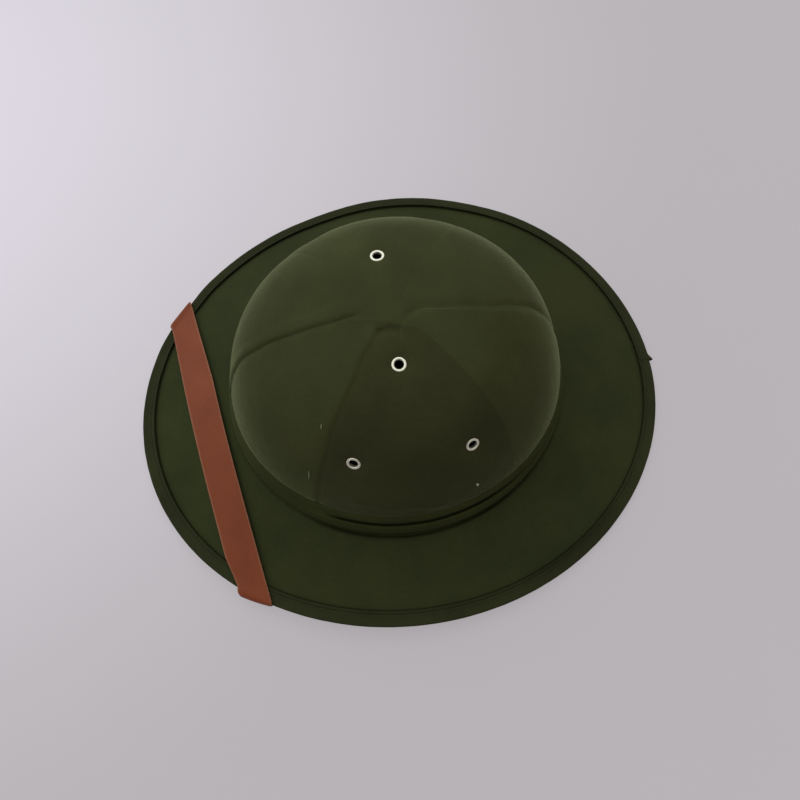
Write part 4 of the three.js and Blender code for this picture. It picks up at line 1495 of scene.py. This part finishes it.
class HELMET_OT_stage(bpy.types.Operator):
    """Set up the floor, the light and the camera"""
    bl_idname = "helmet.stage"
    bl_label = "Stage"

    def execute(self, context):
        scene = context.scene
        stage = scene.sun_helmet.stage
        scene.camera = self.camera(stage)
        bm = bmesh.new()
        bmesh.ops.create_circle(bm, cap_ends=True, segments=FLOOR["sides"], radius=FLOOR["radius"])
        mesh = bpy.data.meshes.new("floor")
        bm.to_mesh(mesh)
        bm.free()
        mesh.materials.append(glowing_floor(stage, scene.sun_helmet.brim))
        floor = bpy.data.objects.new("floor", mesh)
        scene.collection.objects.link(floor)
        scene.collection.objects.link(scene.camera)
        scene.world = self.soft_room(stage)
        scene.view_settings.view_transform = "Standard"
        return {"FINISHED"}

    @staticmethod
    def camera(stage):
        """A camera at the photograph's viewing angle."""
        camera = bpy.data.objects.new("camera", bpy.data.cameras.new("camera"))
        camera.data.lens = stage.lens
        camera.data.sensor_width = CAMERA["sensor"]
        camera.data.clip_start = CAMERA["nearest"]
        flat = math.cos(stage.elevation)
        spot = stage.distance * Vector((math.sin(stage.azimuth) * flat, -math.cos(stage.azimuth) * flat,
                                        math.sin(stage.elevation)))
        camera.location = spot
        camera.rotation_euler = (Vector(stage.aim) - spot).to_track_quat("-Z", "Y").to_euler()
        return camera

    @staticmethod
    def soft_room(stage):
        """Soft light from all round, bright on one side and dim on the other, and a plain pale backdrop."""
        world = bpy.data.worlds.new("soft_room")
        world.use_nodes = True
        tree = world.node_tree
        ray = add_node(tree, "ShaderNodeTexCoord").outputs["Generated"]
        towards, behind = (
            add_node(tree, "ShaderNodeVectorMath", {0: ray, 1: Vector(middle).normalized()},
                     operation="DOT_PRODUCT").outputs["Value"]
            for middle in (stage.light_way, stage.fill_way))
        bright = add_node(tree, "ShaderNodeMapRange", {"Value": towards, "From Min": SKY_EDGE},
                          interpolation_type="SMOOTHSTEP")
        fill = add_node(tree, "ShaderNodeMapRange", {"Value": behind, "To Max": stage.fill_strength},
                        interpolation_type="SMOOTHSTEP")
        tint = add_node(tree, "ShaderNodeMix",
                        {0: bright.outputs[0], MIX_A: list(stage.dusk), MIX_B: list(stage.sky)},
                        data_type="RGBA")
        power = add_node(tree, "ShaderNodeMapRange",
                         {"Value": bright.outputs[0], "To Min": stage.dusk_strength,
                          "To Max": stage.sky_strength})
        whole = add_node(tree, "ShaderNodeMath", {0: power.outputs[0], 1: fill.outputs[0]}, operation="ADD")
        sky = tree.nodes["Background"]
        feed(tree, sky, {"Color": tint.outputs[MIX_RESULT], "Strength": whole.outputs[0]})
        wall = add_node(tree, "ShaderNodeBackground", {"Color": list(stage.backdrop)})
        seen = add_node(tree, "ShaderNodeLightPath").outputs["Is Camera Ray"]
        shown = add_node(tree, "ShaderNodeMixShader", {0: seen, 1: sky.outputs[0], 2: wall.outputs[0]})
        feed(tree, tree.nodes["World Output"], {"Surface": shown.outputs[0]})
        return world


# Add-on

OPERATORS = (
    (HELMET_OT_stage, "stage"),
    (HELMET_OT_crown, "crown"),
    (HELMET_OT_band, "band"),
    (HELMET_OT_brim, "brim"),
    (HELMET_OT_edge_tape, "tape"),
    (HELMET_OT_chin_strap, "strap"),
    (HELMET_OT_eyelets, "vents"),
    (HELMET_OT_rivets, None),
)


class HELMET_PT_sidebar(bpy.types.Panel):
    """Lists the helmet's pieces and their settings"""
    bl_label = "Sun Helmet"
    bl_space_type = "VIEW_3D"
    bl_region_type = "UI"
    bl_category = "Sun Helmet"

    def draw(self, context):
        helmet = context.scene.sun_helmet
        for operator, group in OPERATORS:
            box = self.layout.box()
            box.operator(operator.bl_idname)
            if group:
                for name in getattr(helmet, group).__annotations__:
                    box.prop(getattr(helmet, group), name)


CLASSES = (
    CrownSettings, BandSettings, BrimSettings, TapeSettings, StrapSettings, VentSettings, StageSettings,
    HelmetSettings, *(operator for operator, _ in OPERATORS), HELMET_PT_sidebar,
)


def register():
    for cls in CLASSES:
        bpy.utils.register_class(cls)
    bpy.types.Scene.sun_helmet = PointerProperty(type=HelmetSettings)


def unregister():
    del bpy.types.Scene.sun_helmet
    for cls in reversed(CLASSES):
        bpy.utils.unregister_class(cls)


def main():
    register()
    bpy.ops.helmet.stage()
    bpy.ops.helmet.crown()
    bpy.ops.helmet.band()
    bpy.ops.helmet.brim()
    bpy.ops.helmet.edge_tape()
    bpy.ops.helmet.chin_strap()
    bpy.ops.helmet.eyelets()
    bpy.ops.helmet.rivets()


if __name__ == "__main__":
    main()
